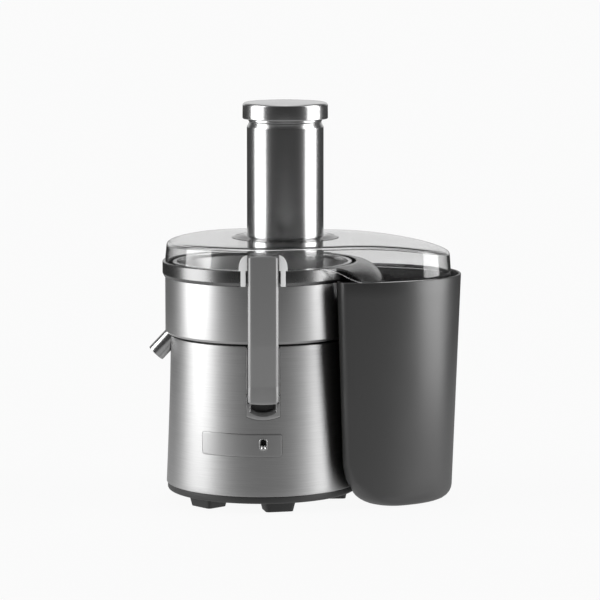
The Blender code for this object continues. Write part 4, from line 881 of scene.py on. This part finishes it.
# ---- Pulp lip --------------------------------------------------------------------------------------
# A pressed stainless apron that carries the pulp over the band and drops it into the bin.
def slab(name, outer, inner):
    """A closed body between two grids of points of the same shape, with their four edges joined."""
    rows, columns = outer.shape[:2]
    count = rows * columns
    face = grid_faces(rows, columns)
    index = np.arange(count).reshape(rows, columns)
    edge = np.concatenate([index[0, :-1], index[:-1, -1], index[-1, :0:-1], index[:0:-1, 0]])
    beside = np.roll(edge, -1)
    rim = np.stack([edge, beside, beside + count, edge + count], 1)
    return solid(name, np.concatenate([outer.reshape(-1, 3), inner.reshape(-1, 3)]),
                 np.concatenate([face, face + count, rim]))


# The same brushed stainless as the body and bowl, but darker (#a4a4a4 against #c4c4c4): painted shade over
# the apron.
SHADED_LIP_STEEL = brushed("brushed_stainless_lip_shaded", "#a4a4a4", 0.22, 0.2, 0.7 * MM, 0.06, (AXIS_X, 0), 0.02)


def pulp_lip():
    """A quarter arc in side view, turned about the body; it ends at a fixed width, so at each radius it
    runs to the angle whose sine is half the width over that radius."""
    half = (LIP_HIGH.y - LIP_LOW.y) / 2
    start = 96.8 * MM
    centre = (99 * MM, LIP_HIGH.z - 27 * MM)
    turn = np.radians(np.linspace(90, 6, 24))

    def sheet(radius):
        r = np.concatenate([[start], centre[0] + radius * np.cos(turn)])
        z = np.concatenate([[centre[1] + radius], centre[1] + radius * np.sin(turn)])
        limit = np.arcsin(half / r)[:, None] * np.linspace(-1, 1, 97)[None, :]
        return np.stack([AXIS_X + r[:, None] * np.cos(limit), r[:, None] * np.sin(limit),
                         np.broadcast_to(z[:, None], limit.shape)], -1)

    lip = slab("apron", sheet(27 * MM), sheet(25 * MM))
    lip.data.materials.append(SHADED_LIP_STEEL)
    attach(lip, "collector")
    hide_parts("pulp_lip")


pulp_lip()

# ---- Juice spout -----------------------------------------------------------------------------------
# A short polished stainless tube welded to the bowl over its drain hole, cut square with a softened end.
TUBE_STEEL = polished("polished_stainless", "#cccccc", 0.22, 0.06)


def juice_spout():
    """Rings round the spout's axis. Its upper end is where each line along the tube meets the bowl: the
    distance t for which x^2 + y^2 equals the bowl's radius squared. Below the bowl's floor the line goes
    on, into the sleeve's slot, as far as the floor or a smaller radius."""
    turn = np.arange(64) * 2 * math.pi / 64
    across = np.array([math.sin(SPOUT_SLOPE), 0, -math.cos(SPOUT_SLOPE)])
    tip = SPOUT_TIP - (AXIS_X, 0, 0)

    def line(radius, back):
        return (tip - SPOUT_DOWN * back + radius * np.cos(turn)[:, None] * across
                + radius * np.sin(turn)[:, None] * np.array([0, 1, 0]))

    def meeting(radius):
        start = line(radius, 0)

        def distance(reach):
            b = -start[:, 0] * SPOUT_DOWN[0]
            a = SPOUT_DOWN[0] ** 2
            c = start[:, 0] ** 2 + start[:, 1] ** 2 - reach ** 2
            return (-b - np.sqrt(np.maximum(b ** 2 - a * c, 0))) / a

        bowl_floor = BOWL_LOW.z + 0.7 * MM
        at_bowl = distance(BOWL_RADIUS - 0.7 * MM)
        at_floor = (bowl_floor - start[:, 2]) / -SPOUT_DOWN[2]
        under = np.minimum(distance(BOWL_RADIUS - 7 * MM), at_floor)
        t = np.where(at_bowl >= at_floor, at_bowl, under)
        return start - SPOUT_DOWN * t[:, None]

    outer, inner = SPOUT_RADIUS, SPOUT_RADIUS - SPOUT_WALL
    roll = SPOUT_WALL / 2
    edge = np.radians(np.linspace(0, 180, 9))
    mouth = [line(outer - roll + roll * math.cos(a), roll - roll * math.sin(a)) for a in edge]
    rings = [meeting(outer), *mouth, meeting(inner)]
    spout = loft("spout", np.array(rings) + (AXIS_X, 0, 0))
    spout.data.materials.append(TUBE_STEEL)
    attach(spout, "collector")
    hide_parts("juice_spout")


juice_spout()

# ---- Filter basket ---------------------------------------------------------------------------------
# The basket is a cone of photo-etched stainless sieve between a turned rim and a pressed floor. The real
# holes are 0.5 mm across and 1 mm apart, too fine to show, so they are drawn 2.4 mm apart, painted near
# black as the shade seen through them, with a bump round each.
BASKET_LOW, BASKET_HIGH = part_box("filter_basket")
RIM_STEEL = polished("turned_stainless", "#c8c8c8", 0.16, 0.06)


def sieve_steel():
    """Etched sheet: round holes on the corners of diamonds, from cells counted along the UV map. The holes
    are not cut; they are painted near black, a painted shade for the dark seen through them.
    """
    steel, tree, shader = material("etched_sieve", {"Metallic": 1.0, "Roughness": 0.28})
    place = node(tree, "ShaderNodeTexCoord").outputs["UV"]
    turned = node(tree, "ShaderNodeMapping", {"Rotation": (0, 0, math.radians(45))}, {"Vector": place})
    cells = node(tree, "ShaderNodeTexVoronoi", {"Scale": math.sqrt(2), "Randomness": 0.0},
                 {"Vector": turned.outputs[0]}, voronoi_dimensions="2D")
    hole = node(tree, "ShaderNodeMapRange", {"From Min": 0.26, "From Max": 0.32},
                {"Value": cells.outputs["Distance"]})
    # The holes are painted near black: painted shade, for the dark seen through them.
    colour = node(tree, "ShaderNodeMix", {"A": linear("#141414"), "B": linear("#b4b4b4")},
                  {"Factor": hole.outputs[0]}, data_type="RGBA")
    relief = node(tree, "ShaderNodeBump", {"Strength": 0.5, "Distance": 0.2 * MM},
                  {"Height": hole.outputs[0]})
    tree.links.new(colour.outputs["Result"], shader.inputs["Base Color"])
    tree.links.new(relief.outputs[0], shader.inputs["Normal"])
    return steel


def filter_basket():
    low, high = BASKET_LOW.z, BASKET_HIGH.z
    rim = (BASKET_HIGH.x - BASKET_LOW.x) / 2
    floor_radius = 67 * MM
    wall = 1.2 * MM
    cone_top = rim - 3.2 * MM
    rim_low = high - 4 * MM
    ring = lathe("basket_rim", [
        (cone_top - wall, high, 0.5 * MM), (rim, high, 0.8 * MM), (rim, rim_low, 0.8 * MM),
        (cone_top, rim_low, 0.3 * MM), (cone_top - wall, rim_low - 0.6 * MM, 0.3 * MM)], (AXIS_X, 0), 256)
    dish = lathe("basket_floor", [
        (0, low + 2 * MM, 0), (floor_radius - wall, low + 2 * MM, 0.8 * MM),
        (floor_radius + 1.4 * MM, low + 5 * MM, 0.5 * MM),
        (floor_radius + 2.2 * MM, low + 5 * MM, 0.5 * MM), (floor_radius, low, 1 * MM),
        (0, low, 0)], (AXIS_X, 0), 256)
    holes_round = 180
    pitch = 2 * math.pi * (cone_top + floor_radius) / 2 / holes_round
    turn = np.linspace(0, 2 * math.pi, 257)
    height = np.linspace(low + 1.5 * MM, rim_low, 24)
    share = (height - low) / (rim_low - low)
    radius = floor_radius + (cone_top - floor_radius) * share

    def cone(inset):
        r = (radius - inset)[:, None]
        level = np.broadcast_to(height[:, None], (24, 257))
        return np.stack([AXIS_X + r * np.cos(turn), r * np.sin(turn), level], -1)

    sieve = slab("sieve_wall", cone(0.2 * MM), cone(1.0 * MM))
    uv = sieve.data.uv_layers.new(name="cells")
    place = np.empty(len(sieve.data.vertices) * 3)
    sieve.data.vertices.foreach_get("co", place)
    place = place.reshape(-1, 3)
    corner = np.empty(len(sieve.data.loops), int)
    sieve.data.loops.foreach_get("vertex_index", corner)
    angle = np.arctan2(place[:, 1], place[:, 0] - AXIS_X)[corner]
    start = np.empty(len(sieve.data.polygons), int)
    total = np.empty(len(sieve.data.polygons), int)
    sieve.data.polygons.foreach_get("loop_start", start)
    sieve.data.polygons.foreach_get("loop_total", total)
    largest = np.repeat(np.maximum.reduceat(angle, start), total)
    angle = np.where(largest - angle > math.pi, angle + 2 * math.pi, angle)
    across = angle / (2 * math.pi) * holes_round
    up = place[corner, 2] / pitch
    uv.data.foreach_set("uv", np.stack([across, up], 1).ravel())
    for piece, steel in ((ring, RIM_STEEL), (dish, RIM_STEEL), (sieve, sieve_steel())):
        piece.data.materials.append(steel)
        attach(piece, "basket")
        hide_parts("filter_basket")


filter_basket()


# ---- Grater disc -----------------------------------------------------------------------------------
# A hardened stainless disc riveted to the basket's floor, with rows of small punched teeth that tear the
# fruit as it is pressed down.
def grater_disc():
    """The teeth are small three-sided spikes on ten curved rows, leaning the way the disc turns."""
    low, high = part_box("grater_disc")
    radius = (high.x - low.x) / 2
    top = low.z + 1.6 * MM
    disc = lathe("grater_plate", [
        (0, high.z, 0), (12 * MM, high.z, 0.8 * MM), (14 * MM, top, 1.5 * MM), (radius, top, 0.5 * MM),
        (radius, low.z, 0.3 * MM), (0, low.z, 0)], (AXIS_X, 0), 128)
    rows, in_row = 10, 13
    share = np.linspace(0, 1, in_row)[None, :]
    reach = (18 * MM + (radius - 22 * MM) * share) + np.zeros((rows, 1))
    turn = 2 * math.pi * np.arange(rows)[:, None] / rows + 0.5 * share
    reach, turn = reach.ravel(), turn.ravel()
    size = 1.4 * MM
    spike = np.array([(-1, -0.7, -0.2), (-1, 0.7, -0.2), (1.1, 0, -0.2), (0.9, 0, 1.3)]) * size
    cos, sin = np.cos(turn + math.pi / 2), np.sin(turn + math.pi / 2)
    points = np.empty((len(turn), 4, 3))
    points[..., 0] = (AXIS_X + (reach * np.cos(turn))[:, None]
                      + cos[:, None] * spike[:, 0] - sin[:, None] * spike[:, 1])
    points[..., 1] = (reach * np.sin(turn))[:, None] + sin[:, None] * spike[:, 0] + cos[:, None] * spike[:, 1]
    points[..., 2] = top + spike[:, 2]
    sides = np.array([(0, 1, 2), (0, 1, 3), (1, 2, 3), (2, 0, 3)])
    faces = (sides[None] + 4 * np.arange(len(turn))[:, None, None]).reshape(-1, 3)
    teeth = solid("grater_teeth", points, faces)
    for piece in (disc, teeth):
        piece.data.materials.append(RIM_STEEL)
        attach(piece, "basket")
        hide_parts("grater_disc")


grater_disc()

# ---- Lid -------------------------------------------------------------------------------------------
# One clear polycarbonate moulding, 2.5 mm thick: it rests on the band, falls towards the bin and hangs a
# skirt inside it. Its edges catch the light as fine bright lines.
LID_LOW, LID_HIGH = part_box("lid_cover")
TUBE_LOW, TUBE_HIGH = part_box("feed_tube")
TUBE_X = (TUBE_LOW.x + TUBE_HIGH.x) / 2
TUBE_Y = (TUBE_LOW.y + TUBE_HIGH.y) / 2
TUBE_RADIUS = (TUBE_HIGH.x - TUBE_LOW.x) / 2


def clear(name, shade, roughness):
    """Clear moulded polycarbonate, with a faint haze of handling marks in its gloss."""
    plastic, tree, shader = material(name, {
        "Base Color": linear(shade), "IOR": 1.58, "Transmission Weight": 1.0})
    place = node(tree, "ShaderNodeTexCoord").outputs["Object"]
    cloud = node(tree, "ShaderNodeTexNoise", {"Scale": 22.0, "Detail": 5.0}, {"Vector": place})
    gloss = node(tree, "ShaderNodeMapRange", {"From Min": 0.4, "From Max": 0.8, "To Min": roughness,
                                              "To Max": roughness + 0.05}, {"Value": cloud.outputs["Fac"]})
    tree.links.new(gloss.outputs[0], shader.inputs["Roughness"])
    return plastic


CLEAR_PC = clear("clear_polycarbonate", "#f2f2f2", 0.015)
LID_RADIUS = AXIS_X - LID_LOW.x
LID_END_RADIUS = 61.5 * MM
LID_END_X = LID_HIGH.x - AXIS_X - LID_END_RADIUS


def lid_plan(inset):
    """Plan of the lid: an arc over the bowl, a side that bows out by 4 mm, an arc over the bin, and the
    same mirrored. The sides touch both circles, so they lean by asin of the radii's difference over the
    distance between the centres."""
    bowl, end = LID_RADIUS - inset, LID_END_RADIUS - inset
    lean = math.asin((LID_RADIUS - LID_END_RADIUS) / LID_END_X)
    side = math.pi / 2 - lean
    normal = np.array([math.sin(lean), math.cos(lean)])
    turn = np.linspace(math.pi, side, 60)[:, None]
    arc = bowl * np.concatenate([np.cos(turn), np.sin(turn)], 1)
    share = np.linspace(0, 1, 32)[1:-1, None]
    straight = normal * bowl * (1 - share) + (normal * end + (LID_END_X, 0)) * share
    bowed = straight + normal * 16 * MM * share * (1 - share)
    turn = np.linspace(side, 0, 40)[:, None]
    tail = end * np.concatenate([np.cos(turn), np.sin(turn)], 1) + (LID_END_X, 0)
    half = np.concatenate([arc, bowed, tail])
    return np.concatenate([half, half[-2:0:-1] * (1, -1)]) + (AXIS_X, 0)


def smoothstep(low, high, value):
    share = np.clip((value - low) / (high - low), 0, 1)
    return share * share * (3 - 2 * share)


def lid_top(x):
    """Level round the tube; away from it the top falls with the square of the distance."""
    x = x - AXIS_X
    left = np.minimum(x + 34 * MM, 0) / (66 * MM)
    right = np.maximum(x - 82 * MM, 0) / (LID_END_X + LID_END_RADIUS - 82 * MM)
    return LID_HIGH.z - 3.2 * MM * left ** 2 - 14 * MM * right ** 2


def lid_bottom(x):
    """On the band over the bowl, then down into the bin."""
    rest = BAND_HIGH.z + GAP
    return rest + (LID_LOW.z - rest) * smoothstep(60 * MM, 105 * MM, x - AXIS_X)


def lid_cover():
    """Rings up the outer wall, round the top edge, in to the tube's hole, and back along the inside."""
    wall = 2.5 * MM
    flare = 1.5 * MM
    hole = TUBE_RADIUS + 0.6 * MM
    roll = 4.0 * MM
    foot = 0.4 * MM

    def ring(inset, height):
        plan = lid_plan(inset)
        return np.column_stack([plan, height(plan[:, 0])])

    def inward(inset, share, drop):
        plan = lid_plan(inset)
        turn = np.arctan2(plan[:, 1] - TUBE_Y, plan[:, 0] - TUBE_X)
        target = np.stack([TUBE_X + hole * np.cos(turn), TUBE_Y + hole * np.sin(turn)], 1)
        place = plan + (target - plan) * share
        return np.column_stack([place, lid_top(place[:, 0]) - drop])

    def wall_ring(inset, share, drop):
        return ring(inset + flare * share,
                    lambda x: lid_bottom(x) + foot + (lid_top(x) - drop - lid_bottom(x) - foot) * share)

    edge = np.radians(np.linspace(0, 90, 8))
    up = np.linspace(0, 1, 6)
    in_shares = np.linspace(0, 1, 16)[1:]
    inner_roll = roll - wall * 0.6
    rings = [ring(foot, lid_bottom)]
    rings += [wall_ring(0, s, roll) for s in up]
    rings += [ring(flare + roll * (1 - math.cos(a)), lambda x, a=a: lid_top(x) - roll * (1 - math.sin(a)))
              for a in edge[1:]]
    rings += [inward(flare + roll, s, 0) for s in in_shares]
    rings += [inward(flare + roll, s, wall) for s in in_shares[::-1]]
    rings += [ring(flare + wall + inner_roll * (1 - math.cos(a)),
                   lambda x, a=a: lid_top(x) - wall - inner_roll * (1 - math.sin(a))) for a in edge[::-1]]
    rings += [wall_ring(wall, s, wall + inner_roll) for s in up[::-1][1:]]
    rings += [ring(wall - foot, lid_bottom)]
    lid = loft("lid", rings)
    lid.data.materials.append(CLEAR_PC)
    lid.visible_shadow = False
    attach(lid, "lid")
    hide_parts("lid_cover")


lid_cover()

# ---- Lid lugs --------------------------------------------------------------------------------------
# Two moulded ledges welded to the lid for the latch arms to pull on, in a pale milky plastic with a
# finely eroded skin.
FROSTED_PC = moulded("frosted_polycarbonate", "#dedede", 0.5 * MM, 0.4, 0.15)


def lid_lug(side):
    """Two quarter-round ears beside the arm, a ledge behind it and two legs over the band."""
    low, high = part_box(f"lid_lug_{side}")
    arm_low, arm_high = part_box(f"latch_arm_{side}")
    slot = (arm_high.x - arm_low.x) / 2 + 0.6 * MM
    ear = (high.x - low.x) / 2
    foot = BAND_HIGH.z + 1 * MM
    ledge = foot + 7 * MM
    legs = (17.5 * MM, 22.5 * MM)
    turn = np.radians(np.linspace(0, 90, 13))
    rise = foot + 2 * MM
    round_ear = np.stack([slot + (ear - slot) * np.cos(turn), rise + (high.z - rise) * np.sin(turn)], 1)
    leg = [(legs[0], foot), (legs[0], low.z), (legs[1], low.z), (legs[1], foot), (ear, foot)]
    right = np.concatenate([leg, round_ear, [(slot, ledge)]])
    line = np.concatenate([right, right[::-1] * (-1, 1)]) + (AXIS_X, 0)
    outer = -107 * MM
    inner = -LID_RADIUS - GAP
    sign = 1 if side == "front" else -1
    arm_back = -103.4 * MM
    band_front = -103.3 * MM
    lug = prism(f"lug_{side}", line, 1, *sorted([sign * outer, sign * inner]))
    face = sorted([sign * -112 * MM, sign * arm_back])
    band = sorted([sign * band_front, sign * -99 * MM])
    carve(lug, block("arm_room", (AXIS_X - slot, face[0], low.z - MM), (AXIS_X + slot, face[1], high.z + MM)),
          block("band_room", (low.x - MM, band[0], low.z - MM), (high.x + MM, band[1], BAND_HIGH.z + GAP)))
    soften(lug, 0.5 * MM, 2)
    lug.data.materials.append(FROSTED_PC)
    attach(lug, "lid")
    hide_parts(f"lid_lug_{side}")


lid_lug("front")
lid_lug("rear")

# ---- Feed tube -------------------------------------------------------------------------------------
# A seamless stainless tube, drawn in at its neck for the cap, polished, then brushed very finely round.
FEED_STEEL = brushed("fine_brushed_tube", "#d2d2d2", 0.25, 0.3, 0.3 * MM, 0.02, (TUBE_X, TUBE_Y), 0.0)


def feed_tube():
    wall = 1.2 * MM
    neck = TUBE_RADIUS - 2.3 * MM
    low, high = TUBE_LOW.z, TUBE_HIGH.z
    shoulder = high - 5.2 * MM
    tube = lathe("tube", [
        (neck, high, 0.5 * MM), (neck + 0.2 * MM, high - 0.9 * MM, 1 * MM), (TUBE_RADIUS, shoulder, 2.5 * MM),
        (TUBE_RADIUS, low, 0.5 * MM), (TUBE_RADIUS - wall, low, 0.5 * MM),
        (TUBE_RADIUS - wall, shoulder - 0.4 * MM, 1 * MM),
        (neck - wall, shoulder + 2.6 * MM, 1 * MM), (neck - wall, high, 0.5 * MM)], (TUBE_X, TUBE_Y), 256)
    tube.data.materials.append(FEED_STEEL)
    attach(tube, "lid")
    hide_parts("feed_tube")


feed_tube()


# ---- Tube collar -----------------------------------------------------------------------------------
# A clear collar that seats the tube on the lid: it swells gently up to the steel, by half a cosine.
def tube_collar():
    low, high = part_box("tube_collar")
    outer = (high.x - low.x) / 2
    bore = TUBE_RADIUS + GAP
    share = np.linspace(0, 1, 12)
    reach = bore + 1.6 * MM + (outer - bore - 1.6 * MM) * share
    swell = low.z + 0.1 * MM + (high.z - low.z - 0.1 * MM) * (0.5 + 0.5 * np.cos(math.pi * share))
    collar = lathe("collar", [(bore, high.z, 0.4 * MM), *zip(reach, swell, 0 * share), (outer, low.z, 0),
                              (bore, low.z, 0)], (TUBE_X, TUBE_Y), 192)
    collar.data.materials.append(CLEAR_PC)
    collar.visible_shadow = False
    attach(collar, "lid")
    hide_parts("tube_collar")


tube_collar()


# ---- Pusher ----------------------------------------------------------------------------------------
# The pusher is a blow-moulded black cup that fills the tube, with a heavy spun steel cap in the tube's
# finely brushed steel and a fine bead where it meets the tube.
def pusher():
    low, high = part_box("pusher_body")
    radius = (high.x - low.x) / 2
    wall = 2 * MM
    cup = lathe("pusher_cup", [
        (0, low.z + wall, 0), (radius - wall, low.z + wall, 2 * MM), (radius - wall, high.z, 0.5 * MM),
        (radius, high.z, 0.5 * MM), (radius, low.z, 3 * MM), (0, low.z, 0)], (TUBE_X, TUBE_Y), 192)
    cup.data.materials.append(BLACK_ABS)
    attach(cup, "pusher")
    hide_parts("pusher_body")

    bottom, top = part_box("pusher_cap")
    reach = (top.x - bottom.x) / 2
    seat = high.z + GAP
    spigot = radius - wall - GAP
    bead = radius + 2.6 * MM
    crown = top.z - 0.8 * MM
    cap = lathe("cap", [
        (0, crown, 0), (0.5 * reach, crown - 0.5 * MM, 120 * MM),
        (reach - 0.2 * MM, top.z - 3 * MM, 3.4 * MM), (reach, seat + 3 * MM, 1.4 * MM),
        (bead, seat + 2.6 * MM, 0.2 * MM), (bead, seat + 0.2 * MM, 0.9 * MM),
        (bead - 1.4 * MM, seat, 0.4 * MM), (spigot, seat, 0.3 * MM),
        (spigot, bottom.z, 0.5 * MM), (0, bottom.z, 0)], (TUBE_X, TUBE_Y), 256)
    cap.data.materials.append(FEED_STEEL)
    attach(cap, "pusher")
    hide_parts("pusher_cap")


pusher()

# ---- Pulp bin --------------------------------------------------------------------------------------
# A tall tub of dark grey polypropylene with a satin mould finish, hollowed on its inner side so that it
# stands close round the body. Its inner wall is cut low, to let it slide out under the lid.
# The finely eroded mould leaves a satin skin that still shows a broad highlight down its rounded end.
BIN_PP = moulded("dark_polypropylene", "#262626", 0.5 * MM, 0.37, 0.12, 1.2)
BIN_LOW, BIN_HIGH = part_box("pulp_bin")
BIN_HOLLOW = 104.3 * MM


def bin_line(inset, z, height):
    """Plan of the bin at a height, set in from its outer side: an ellipse that tapers towards the floor, a
    circle round the body, and a fillet where they meet, which widens near the floor. The fillet's centre
    is where the ellipse drawn in by its radius crosses the circle let out by it."""
    hollow = BIN_HOLLOW
    length = 110.2 * MM
    depth = (BIN_HIGH.y - BIN_LOW.y) / 2
    centre_x = BIN_HIGH.x - AXIS_X - length
    share = np.clip(z / height, 0, 1)
    near_floor = np.clip(1 - z / (46 * MM), 0, 1)
    fillet = max((8 + 4 * share + 26 * near_floor ** 2) * MM - inset, 2 * MM)
    a = length * (0.92 + 0.08 * share) - inset
    b = depth * (0.83 + 0.17 * share) - inset
    inner_a, inner_b, reach = a - fillet, b - fillet, hollow + inset + fillet
    turn = np.linspace(0.3, math.pi, 4000)
    away = np.hypot(centre_x + inner_a * np.cos(turn), inner_b * np.sin(turn)) - reach
    crossing = turn[np.argmax(away < 0)]
    centre = np.array([centre_x + inner_a * math.cos(crossing), inner_b * math.sin(crossing)])
    outward = np.array([math.cos(crossing) / inner_a, math.sin(crossing) / inner_b])
    outward_turn = math.atan2(outward[1], outward[0])
    body_turn = math.atan2(-centre[1], -centre[0]) + 2 * math.pi
    sweep = np.linspace(-crossing, crossing, 161)
    normal = np.stack([np.cos(sweep) / inner_a, np.sin(sweep) / inner_b], 1)
    normal /= np.linalg.norm(normal, axis=1, keepdims=True)
    shell = np.stack([centre_x + inner_a * np.cos(sweep), inner_b * np.sin(sweep)], 1) + fillet * normal
    corner_turn = np.linspace(outward_turn, body_turn, 14)[1:-1]
    corner = centre + fillet * np.stack([np.cos(corner_turn), np.sin(corner_turn)], 1)
    meet = math.atan2(centre[1], centre[0])
    back_turn = np.linspace(meet, -meet, 121)
    back = (hollow + inset) * np.stack([np.cos(back_turn), np.sin(back_turn)], 1)
    other = corner[::-1] * (1, -1)
    return np.concatenate([shell, corner, back, other]) + (AXIS_X, 0)


def pulp_bin():
    """Rings from under the floor up the outside, over the rim and down inside. Along the hollow the rim
    drops from the full height to the low edge between 83 and 76 mm from the middle."""
    height = BIN_HIGH.z
    low_edge = 221 * MM
    wall = 2.5 * MM
    roll = 14 * MM
    shell_points = 161 + 12

    def ring(inset, level, on_rim=0.0):
        line = bin_line(inset, level, height)
        z = np.full(len(line), level)
        if on_rim:
            away = np.abs(line[:, 1])
            dip = 1 - smoothstep(74 * MM, 84 * MM, away)
            dip[:shell_points] = 0
            dip[-12:] = 0
            z = z - (height - low_edge) * dip * on_rim
        return np.column_stack([line, z])

    edge = np.radians(np.linspace(0, 90, 7))
    rings = [ring(roll * (1 - math.sin(a)), roll * (1 - math.cos(a))) for a in edge]
    steps = 14
    rings += [ring(0, roll + (height - wall / 2 - roll) * i / steps, max(0, (i - 4) / (steps - 4)))
              for i in range(1, steps + 1)]
    half = np.radians(np.linspace(0, 180, 7))[1:-1]
    rings += [ring(wall / 2 * (1 - math.cos(a)), height - wall / 2 * (1 - math.sin(a)), 1.0) for a in half]
    rings += [ring(wall, roll + (height - wall / 2 - roll) * i / steps, max(0, (i - 4) / (steps - 4)))
              for i in range(steps, 0, -1)]
    rings += [ring(wall + (roll - wall) * (1 - math.sin(a)), wall + (roll - wall) * (1 - math.cos(a)))
              for a in edge[::-1]]
    tub = loft("bin", rings, caps=True)
    tub.data.materials.append(BIN_PP)
    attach(tub, "bin")
    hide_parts("pulp_bin")


pulp_bin()
